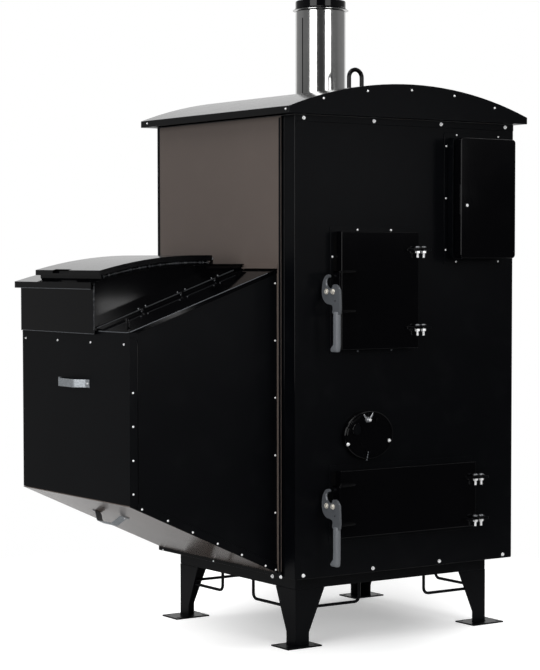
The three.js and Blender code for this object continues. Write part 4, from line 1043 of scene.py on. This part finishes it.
def makeControl():
    x, z, inset, sheet = control["x"], control["z"], control["inset"], control["sheet"]
    flange = roundRect(grow(x, control["flange"]), grow(z, control["flange"]), 6, 4)
    room = rect(grow(x, -inset - sheet), grow(z, -inset - sheet))
    core = roundRect(grow(x, -inset), grow(z, -inset), 8)
    rim = roundRect(x, z, control["round"])
    assembled("control_base", [
        plate("flange", flange, "xz", skin, -gap, width=0.8),
        plate("rim", rim, "xz", control["rim"], skin, holes=[room], width=1.2),
        plate("core", core, "xz", control["deep"], control["rim"], holes=[room], width=0.8),
    ])

    coverX, coverZ, face, back = control["coverX"], control["coverZ"], control["face"], control["back"]
    hem = lambda start, stop: bar("hem", (start, stop), (back - 2, back), grow(coverZ, -14), 0.5)
    assembled("control_cover", [
        tray("pan", coverX, (face, back), coverZ, sheet, control["round"], 3.2),
        bar("tab", (coverX[0] - 2.2, coverX[0] + 0.4), (face + 3.5, back + 4), control["tabZ"], 0.9),
        hem(coverX[0] + 2.1, coverX[0] + 6.5),
        hem(coverX[1] - 6.5, coverX[1] - 2.1),
    ], blackGloss)

    # Round lock with its slot, and the cam behind the cover
    lockX, lockZ = control["lock"]
    barrel = [(0.3, face - 2.6), (1, face - 2.6), (4.6, face - 2.6), (6, face - 1.6), (6, -82), (5.4, -81.2)]
    assembled("control_lock", [
        turned("barrel", [*barrel, (0.3, -81.2)], (lockX, 0, lockZ), "y", 40),
        bar("slot", grow((lockX, lockX), 0.8), (face - 2.9, face - 2.5), grow((lockZ, lockZ), 3.6), 0.15),
        bar("cam", grow((lockX, lockX), 6), (face + 2.3, face + 5), (lockZ - 5, lockZ + 16), 0.8),
    ], brightZinc)

    # Piano hinge down the right side
    low, high = span = grow(coverZ, -30)
    pinX, pinY = control["pin"]
    line = lineMesh("hingeLine", [[(pinX, pinY, low), (pinX, pinY, high)]])
    pitch = (high - low) / 1000 / control["barrels"]
    settings = {"Radius": 0.003, "Pitch": pitch, "Fill": 0.94, "Sides": 14, "Finish": zinc}
    assembled("control_hinge", [
        made("barrels", line, knuckleTree, settings),
        stud("pin", (pinX, pinY, 0), "z", 1.6, low - 2, high + 2, False),
        bar("leaf", (x[1] - inset + 0.2, pinX - 1.2), (-60.7, -59), span, 0.4),
    ])
    screws("control_screws", onWall(front, skin, control["screws"], control["screw"]), 11)


makeControl()
print("control box ready")

# Port between the doors
port = {
    "x": 328, "z": 797, "wide": 114, "tall": 93, "face": -22, "bore": 44, "sleeve": 48, "end": 155.7, "sides": 96,
    "pivotZ": 735, "pivot": 3.9, "thick": 6, "slot": 6.2, "sight": (268, 820), "sightRadius": 20,
    "wing": (314, 856), "wingTurn": 0.12, "bolts": ((227.5, 766.5), (421, 772)), "bolt": 6.0,
    # The oval's steps, as growth and depth behind the face
    "steps": [(0, 5), (-0.6, 3), (-2.2, 1), (-4.4, 0), (-7.5, 0), (-8.3, 1.2), (-10.5, 1.2), (-11.3, 0)],
}
damperEdge = [
    (-96, 32), (-88, 20), (-20, -56), (-12, -72), (12, -74), (50, -56), (78, -26), (86, 6), (76, 40),
    (50, 66), (14, 82), (-22, 84), (-34, 78), (-92, 42),
]
# Along an ear of the wing nut: how far out and up, the half width and the half thickness
wingStations = [
    (4, 1, 7, 2.4), (8, 5, 6.2, 2.2), (13, 11, 5.8, 1.9), (18, 17, 6.2, 1.7), (21, 21, 5, 1.5), (22.5, 23, 2.4, 0.9),
]


def makePort():
    x, z, sides, face = port["x"], port["z"], port["sides"], port["face"]
    wide, tall, bore, sleeve, end = port["wide"], port["tall"], port["bore"], port["sleeve"], port["end"]
    rings = [(disc(x, z, wide, sides, tall), -gap)]
    rings += [(disc(x, z, wide + more, sides, tall + more), face + back) for more, back in port["steps"]]
    bores = ((bore + 1, face), (bore, face + 1), (bore, end), (sleeve, end), (sleeve, -gap))
    rings += [(disc(x, z, radius, sides), y) for radius, y in bores]
    flange = evened(lofted("flange", [[(a, y, b) for a, b in ring] for ring, y in rings], 50, True))
    damperFace = face - port["thick"]
    pivot = stud("pivot", (x, 0, port["pivotZ"]), "y", port["pivot"], damperFace - 4, face + 2, False)
    assembled("port_flange", [flange, pivot], blackGloss)
    wingX, wingZ = port["wing"]
    fit(stud("port_stud", (wingX, 0, wingZ), "y", 4.9, damperFace - 20, face + 1), brightZinc)

    near, far = damperFace - gap, face - gap
    edge = flowing([(x + a, z + b) for a, b in damperEdge], 4)
    rise = wingZ - port["pivotZ"]
    reach, turn = math.hypot(rise, wingX - x), math.degrees(math.atan2(rise, wingX - x))
    slot = arc(x, port["pivotZ"], reach + port["slot"], turn - 20, turn, 8)
    slot += arc(x, port["pivotZ"], reach - port["slot"], turn, turn - 20, 8)
    radius, sight = port["sightRadius"], (port["sight"][0], 0, port["sight"][1])
    holes = [disc(*port["sight"], radius, 40), disc(x, port["pivotZ"], 4.2, 20), slot]
    damper = plate("damper", edge, "xz", near, far, holes=holes, width=0.9)
    rim = [(-0.2, -0.9), (2.2, -0.9), (3, 0.1), (-0.2, 0.1)]
    rim = [(radius + out, near + rise) for out, rise in rim]
    collar = turned("sightRim", rim, sight, "y", 48)
    assembled("port_damper", [damper, collar], blackGloss)
    pane = [(0.3, near + 2), (radius - 0.3, near + 2), (radius - 0.3, near + 3.6), (0.3, near + 3.6)]
    fit(turned("port_sight_pane", pane, sight, "y", 48), blackCoat, "port_damper")

    # Wing nut: a coned hub with two bent ears
    top, foot = near - 14, near - gap
    hub = [(5.1, foot), (11, foot), (10.6, foot - 3), (8.6, top + 1), (7.6, top), (5.1, top)]
    parts = [turned("hub", hub, (wingX, 0, wingZ), "y", 32)]
    leanX, leanZ = math.cos(port["wingTurn"]), math.sin(port["wingTurn"])
    for side in (-1, 1):
        rings = []
        for out, rise, wide, thick in wingStations:
            ring = []
            for c, s in disc(0, 0, 1, 16, start=0):
                a, b = side * out, rise + wide * s
                ring.append((wingX + a * leanX - b * leanZ, top + 5 + thick * c, wingZ + a * leanZ + b * leanX))
            rings.append(ring)
        parts.append(lofted("wing", rings, 70))
    assembled("port_wing_nut", parts)

    # A short ball chain at the foot of the damper
    links = [(x - 14 - 2.2 * i, near - 4.5, port["pivotZ"] - 2 - 9.5 * i) for i in range(4)]
    ball = [(0.2, -2.6), (1.7, -2), (2.4, -0.8), (2.4, 0.8), (1.7, 2), (0.2, 2.6)]
    parts = [turned("ball", ball, spot, "z", 16) for spot in links]
    fit(merged("port_chain", [*parts, wire("chainWire", [links], 0.9, 3, 8)]), hookCoat, "port_damper")
    screws("port_screws", onWall(front, face, port["bolts"], port["bolt"]), 12)


makePort()
print("port ready")

# Bin: pulls, seams, the hood's flange and its bolts
hopper = {
    "out": -636, "front": 118, "rear": 940, "sheet": 3, "flange": 33, "base": (575, 283), "top": (1198, 1422),
    "screwSmall": 3.9,
    "hoodFront": 350, "hoodOut": -648, "wallY": 346.6, "screw": 4.2, "column": -622,
    "hem": (-602.4, 584, 1180), "screwOuter": [(154, 1156), (399, 1156), (654, 1156), (914, 1156)],
    "screwFace": [
        (-622, 984), (-622, 863), (-622, 741), (-622, 620),
        (-587, 564), (-479, 515), (-373, 465), (-266, 415), (-160, 365), (-54, 315),
    ],
    "screwInner": [(-8, 1371), (-8, 1157), (-8, 943), (-8, 727), (-8, 511)], "screwLast": [(-8, 296)],
    "hoodBolts": (-464, -433, -295, -262, -145, -117),
}
pull = {
    "bar": 55, "leg": 97, "foot": 119, "off": 35, "half": 15, "thick": 3, "ease": 8, "screw": 108,
    "outerAt": (526, 1003), "underX": -453, "underY": 580,
}


def along(x, ends):
    # A height on a sloping edge of the bin, given at its outer end and at the cabinet
    return ends[1] + (ends[0] - ends[1]) * x / hopper["out"]


def topAt(x, more=0):
    return along(x, hopper["top"]) + more


def hoodTop(x):
    return 1443 - (0.00031 * (x + 200) ** 2 if x < -200 else 0)


def makePull(name, place):
    # A strap with eased bends, laid out along y and out, then set by place
    corners = [(-pull["foot"], 0), (-pull["leg"], 0), (-pull["bar"], pull["off"])]
    corners = [Vector(spot) for spot in corners + [(-y, out) for y, out in reversed(corners)]]
    inner = [corners[0]]
    for before, here, after in zip(corners, corners[1:], corners[2:]):
        start = here - (here - before).normalized() * pull["ease"]
        end = here + (after - here).normalized() * pull["ease"]
        for k in range(7):
            t = k / 6
            inner.append((1 - t) ** 2 * start + 2 * t * (1 - t) * here + t * t * end)
    inner.append(corners[-1])
    outer = []
    for i, spot in enumerate(inner):
        way = (inner[min(i + 1, len(inner) - 1)] - inner[max(i - 1, 0)]).normalized()
        outer.append(spot + Vector((-way.y, way.x)) * pull["thick"])
    ring = [*inner, *reversed(outer)]
    bm = bmesh.new()
    verts = [[bm.verts.new(place(p.x, p.y, side * pull["half"])) for p in ring] for side in (-1, 1)]
    count = len(ring)
    for i in range(count):
        k = (i + 1) % count
        bm.faces.new((verts[0][i], verts[0][k], verts[1][k], verts[1][i]))
    for side in verts:
        for i in range(len(inner) - 1):
            bm.faces.new((side[i], side[i + 1], side[count - 2 - i], side[count - 1 - i]))
    bmesh.ops.recalc_face_normals(bm, faces=bm.faces)
    standFor(rounded(fromBmesh(name + "_body", bm), 0.9), name, strapZinc)


def makePulls():
    out, (y, z), step = hopper["out"], pull["outerAt"], pull["screw"]
    makePull("bin_pull_outer", lambda side, off, up: at(out - gap - off, y + side, z + up))
    slope = math.atan2(hopper["base"][0] - hopper["base"][1], -out)
    down = Vector((-math.sin(slope), 0, -math.cos(slope)))
    uphill = Vector((math.cos(slope), 0, -math.sin(slope)))
    spot = Vector((pull["underX"], pull["underY"], along(pull["underX"], hopper["base"]) - 0.33))
    under = lambda side, off, up: at(*(spot + down * off + uphill * up + Vector((0, side, 0))))
    makePull("bin_pull_bottom", under)
    rows = onWall(left, out - 3.4, [(y - step, z), (y + step, z)], hopper["screw"])
    rows += [(spot + down * 3.1 + Vector((0, side, 0)), down, hopper["screw"]) for side in (-step, step)]
    screws("pull_screws", rows, 13)


def makeBin():
    out, sheet, flange, size = hopper["out"], hopper["sheet"], hopper["flange"], hopper["screw"]
    low, high = hopper["front"] - sheet - gap, hopper["rear"] + sheet + gap
    foot = lambda x, more=0: (x, along(x, hopper["base"]) + more)
    under = [foot(out), foot(out, 3.3), foot(-gap, 3.3), foot(-gap)]
    pan = plate("bin_bottom_panel_body", under, "xz", low + sheet + 0.05, high - sheet - 0.05, width=0.6)
    standFor(pan, "bin_bottom_panel", slopeCoat)
    trimX = out + flange + gap
    strip = [*under[:2], foot(trimX, 3.3), foot(trimX, flange), foot(-gap, flange), under[3]]
    trims = [plate("trim", strip, "xz", start, start + sheet, width=0.8) for start in (low, high - sheet)]
    fit(merged("bin_bottom_trims", trims), blackCoat)
    hemX, hemLow, hemHigh = hopper["hem"]
    hems = [[(hemX, y, hemLow), (hemX, y, hemHigh), (out, y, hemHigh)] for y in (low - 0.2, high + 0.2)]
    wired("bin_hems", hems, 1.1, blackGloss)

    makePulls()
    rows = onWall(left, out, hopper["screwOuter"], size) + onWall(front, low, hopper["screwFace"], size)
    rows += onWall(front, hopper["front"], hopper["screwInner"], hopper["screwSmall"])
    rows += onWall(front, low, hopper["screwLast"], hopper["screwSmall"])
    screws("bin_screws", rows + onWall(rear, high, hopper["screwFace"], size), 14)


makeBin()

# What ties the hood to the bin's sloped top. A rise is a height above that top
hoodTrim = {
    "ends": (-628, -44), "wall": (4, 27), "wallBack": 349.7, "foot": (3.6, 6), "footY": (326, 347.2),
    "boltRise": 19, "bolt": 3.0, "nutStep": 8, "nutY": 336, "nutRise": 6, "nut": 3.2, "nutWay": (-0.33, 0, 0.94),
    "edge": (-639, -44), "edgeRise": 2, "edgeBack": 330, "rod": (-640, -48), "rodY": 341, "rodRise": 14,
    "clampStep": 15, "clamp": ((-9, 2), (9, 8), (7, 20), (-7, 16)), "clampY": (334, 346.4),
    "sealant": range(-608, -150, 12), "seam": range(-640, -60, 12), "fromTop": 5.5, "cornerZ": (1200, 1372),
    "clip": [(-632, -2), (-616, 4), (-621, 20), (-626, 46), (-636, 48), (-634, 18)], "clipY": (136, 145),
    "ledge": [(-16, 1426), (-0.4, 1426), (-0.4, 1443), (-3.4, 1443), (-3.4, 1429), (-16, 1429)], "ledgeY": (113, 337),
}


def makeHoodTrims():
    trim, wallY, bolts = hoodTrim, hopper["wallY"], hopper["hoodBolts"]

    def band(low, high):
        ends = trim["ends"]
        return [(x, topAt(x, low)) for x in ends] + [(x, topAt(x, high)) for x in reversed(ends)]

    # Flange, bolts, nuts, a grey line on the top sheet's front edge as painted highlight, rod and clamps
    wall = plate("wall", band(*trim["wall"]), "xz", wallY, trim["wallBack"], width=0.7)
    foot = plate("foot", band(*trim["foot"]), "xz", *trim["footY"], width=0.7)
    fit(merged("hood_flange", [wall, foot]), blackGloss)
    rows = [((x, wallY, topAt(x, trim["boltRise"])), front, trim["bolt"]) for x in bolts]
    screws("hood_bolts", rows, 15, zinc, 0.9, 1.25)
    places = [x + trim["nutStep"] for x in bolts[::2]]
    rows = [((x, trim["nutY"], topAt(x, trim["nutRise"])), trim["nutWay"], trim["nut"]) for x in places]
    screws("hood_nuts", rows, 16, hookCoat, 0.9, 1.25)
    # A dark grey wire along the top sheet's front edge: painted highlight of the rolled edge
    rim, (far, near) = spanOf("bin_top_panel")[0].y + 0.6, trim["edge"]
    edge = [(near, rim), (far, rim), (far, trim["edgeBack"])]
    wired("bin_top_edge", [[(x, y, topAt(x, trim["edgeRise"])) for x, y in edge]], 1.5, hookCoat)
    # The rod is grey rather than black: painted glints
    wired("hood_rod", [[(x, trim["rodY"], topAt(x, trim["rodRise"])) for x in trim["rod"]]], 2.4, glintGreyCoat, 16)
    clamps = []
    for mid in [x + trim["clampStep"] for x in bolts[::2]]:
        hump = [(mid + x, topAt(mid, rise)) for x, rise in trim["clamp"]]
        clamps.append(plate("clamp", hump, "xz", *trim["clampY"], width=2.0))
    fit(merged("hood_clamps", clamps), blackGloss)

    # Sealant under the lid, weld lines along the hood, and grey lines under the deck's lip and along the hood's foot
    # as painted highlights of those edges
    wall, drop = hopper["hoodFront"], trim["fromTop"]
    # The sealant is grey rather than black: painted glints on its lumps
    line = [(x, wall + 1.5, hoodTop(x) + drop) for x in trim["sealant"]]
    bead("hood_sealant", [line], 3.6, glintGreyCoat, 0.9, 4.0, 21)
    line = [(x, wall - 0.8, hoodTop(x) - drop) for x in trim["seam"]]
    bead("hood_seam", [line], 2.6, blackGloss, 0.35, 5.0, 22)
    # The corner weld is grey rather than black: painted glints on its lumps
    line = [(hopper["hoodOut"] - 0.2, wall, z) for z in trim["cornerZ"]]
    bead("hood_corner", [line], 2.4, glintGreyCoat, 0.8, 4.0, 23)
    # Dark grey wires under the deck's lip and along the hood's foot: painted highlights
    lip, hood = spanOf("hood_deck"), spanOf("bin_hood")
    edges = [[(lip[0].x + 0.6, y, lip[0].z + 0.6) for y in (lip[0].y + 2, lip[1].y - 2)]]
    edges.append([(hood[0].x + 0.4, y, hood[0].z + 0.8) for y in (wall + 2, hood[1].y - 2)])
    wired("hood_edges", edges, 1.2, hookCoat)
    clip = [(x, topAt(hopper["column"], rise)) for x, rise in trim["clip"]]
    fit(plate("hood_clip", clip, "xz", *trim["clipY"], width=1.6), blackGloss)

    # The ledge between the bin and the cabinet's side
    fit(plate("bin_ledge", trim["ledge"], "xz", *trim["ledgeY"], width=0.6), taupeCoat)


makeHoodTrims()
print("bin ready")

# Screws on the cabinet, roof and frames
cabinet = {
    "wide": 1050, "deep": 985, "base": 270, "top": 1992, "gable": -33, "rearEave": 52, "sideEave": 46, "stripTo": 105,
    "folds": (69.2, 1.0), "columns": (38, 361, 684, 1007), "rows": (1981, 284), "eaveZ": 2010,
    "gableScrews": [(107, 2054), (310, 2090), (518, 2102), (726, 2090), (928, 2052)],
    "frameScrews": [(284, 1571), (442, 1571), (168, 1470)], "frameShadedScrews": [(286, 1115), (445, 1115)],
    "baseScrews": [((92, 271), 6.4), ((148.5, 267), 6.4), ((565, 274), 3.8), ((950, 274), 3.8)],
    "sideRow": [(145, 274), (565, 274), (950, 274)],
}


def grid(first, second):
    return [(a, b) for a in first for b in second]


def makeScrews():
    wide, deep, columns, eave = cabinet["wide"], cabinet["deep"], cabinet["columns"], cabinet["sideEave"]
    upper, lower = (grid(columns, [z]) for z in cabinet["rows"])
    screws("front_screws", onWall(front, skin, upper, 6.4) + onWall(front, 0, lower, 6.4), 31)
    rows = onWall(front, cabinet["gable"], cabinet["gableScrews"], 4.4)
    rows += onWall(rear, deep + cabinet["rearEave"], cabinet["gableScrews"], 4.4)
    rows += onWall(left, -eave, grid((-8, 986), [cabinet["eaveZ"]]), 4.2)
    screws("roof_screws", rows + onWall(right, wide + eave, grid((-8, 490, 986), [cabinet["eaveZ"]]), 4.2), 32)
    screws("frame_screws", onWall(front, skin, cabinet["frameScrews"], 4.2), 33)
    # The two screws just under the fire door are dark grey rather than zinc: painted shade from the door's overhang
    screws("frame_rivets", onWall(front, skin, cabinet["frameShadedScrews"], 3.6), 36, hookCoat)
    rows = [row for spot, size in cabinet["baseScrews"] for row in onWall(left, 0, [spot], size)]
    rows += onWall(right, wide, cabinet["sideRow"], 3.8)
    screws("side_screws", rows + onWall(right, wide, grid((110, 950), (330, 720, 1110, 1500, 1890)), 4.0), 34)
    rows = grid((14, 1036), (300, 620, 940, 1260, 1580, 1900, 1978)) + grid((270, 525, 780), (286, 1978))
    screws("rear_screws", onWall(rear, deep, rows, 4.6), 35)


makeScrews()


def makeTrims():
    # Edge strips where the side panels meet the folded front, and the rolled lower edge
    wide, base, top = cabinet["wide"], cabinet["base"], cabinet["top"] - 6
    sideFrom = spanOf("left_panel")[0].y
    strips, lines = [], []
    for x, out, span in ((0, -1, (-1.4, -0.02)), (wide, 1, (wide + 0.02, wide + 1.4))):
        strips.append(bar("strip", span, (sideFrom + 0.4, cabinet["stripTo"]), (base + 18, top), 0.5))
        lines += [[(x + out * 0.1, y, base + 4), (x + out * 0.1, y, top)] for y in cabinet["folds"]]
    fit(merged("corner_strips", strips), blackCoat)
    lines.append([(2, 0.3, base + 1.2), (wide - 2, 0.3, base + 1.2)])
    fit(wire("corner_folds", lines, 1.2, 30, 10), blackGloss)


makeTrims()

# Weld beads where each leg's angle meets its foot
legs = [(62, 86, 1, 1), (988, 86, -1, 1), (62, 917, 1, -1), (988, 917, -1, -1)]


def makeWelds():
    paths, z = [], 7.2
    for x, y, wayX, wayY in legs:
        paths.append([(x, y - wayY * 0.8, z), (x + wayX * 60, y - wayY * 0.8, z)])
        paths.append([(x - wayX * 0.8, y, z), (x - wayX * 0.8, y + wayY * 60, z)])
    bead("leg_welds", paths, 2.4, blackCoat, 0.35, 4.0, 41)


makeWelds()

# Rear: threaded stubs, a finger guard on the air inlet
back = {"pipeX": 880, "pipes": (1700, 480), "radius": 22, "air": (300, 560), "rings": (8, 18, 28, 38, 47)}


def makeRear():
    deep, radius = cabinet["deep"], back["radius"]
    for which, z in zip(("supply", "return"), back["pipes"]):
        mid = (back["pipeX"], 0, z)
        profile = [(radius + 0.1, deep + 8)]
        for i in range(11):
            ridge = deep + 9 + i * 2.5
            profile += [(radius + 0.3, ridge), (radius + 1.6, ridge + 1.25)]
        profile += [(radius + 0.3, deep + 37), (radius + 0.1, deep + 37.4)]
        fit(turned(which + "_thread", profile, mid, "y", 40), millSteel)
        collar = [(1, 0.1), (9, 0.1), (9, 1.2), (2, 3.5), (1, 3.5)]
        collar = [(radius + out, deep + rise) for out, rise in collar]
        fit(turned(which + "_collar", collar, mid, "y", 48), blackCoat)
    x, z = back["air"]
    y = deep + 3.2
    rings = [[(a, y, b) for a, b in disc(x, z, r, 48, start=0)] for r in back["rings"]]
    spokes = zip(disc(x, z, 6, 4), disc(x, z, 52, 4))
    spokes = [[(a, y + 2.1, b) for a, b in ends] for ends in spokes]
    parts = [wire("rings", rings, 1.1, 3, 8, True), wire("arms", spokes, 1.3, 8, 8)]
    fit(merged("inlet_guard", parts), zinc)
    screws("guard_screws", onWall(rear, deep, disc(x, z, 54, 4), 4.6), 36)


makeRear()
print("rear ready")

# Fuel feed: one continuous flight on its shaft
feed = {"y": 528, "z": 470, "shaft": 9, "flight": 38, "pitch": 60, "thick": 3, "step": 2.5}


def makeAuger():
    low, high = spanOf("auger_screw")
    start, end = low.x + 18, high.x - 8
    steps = int((end - start) / feed["step"])
    root, tip, thick = feed["shaft"] - 1, feed["flight"], feed["thick"]
    rings = []
    for i in range(steps + 1):
        place = start + (end - start) * i / steps
        turn = 2 * math.pi * (place - start) / feed["pitch"]
        c, s = math.cos(turn), math.sin(turn)
        edge = ((root, 0), (tip, 0), (tip, thick), (root, thick))
        rings.append([(place + shift, feed["y"] + radius * c, feed["z"] + radius * s) for radius, shift in edge])
    shaft = stud("shaft", (0, feed["y"], feed["z"]), "x", feed["shaft"], low.x, high.x, False)
    assembled("auger_screw", [lofted("flight", rings, 50), shaft])


makeAuger()
low, high = spanOf("lid_pin")
mid = ((low.x + high.x) / 2, 0, (low.z + high.z) / 2)
standFor(stud("lid_pin_body", mid, "y", 5, low.y, high.y, False), "lid_pin")
for node in ("water_jacket", "firebox"):
    standFor(softened(node, 1.0, 40, 1), node)
print("inside ready")
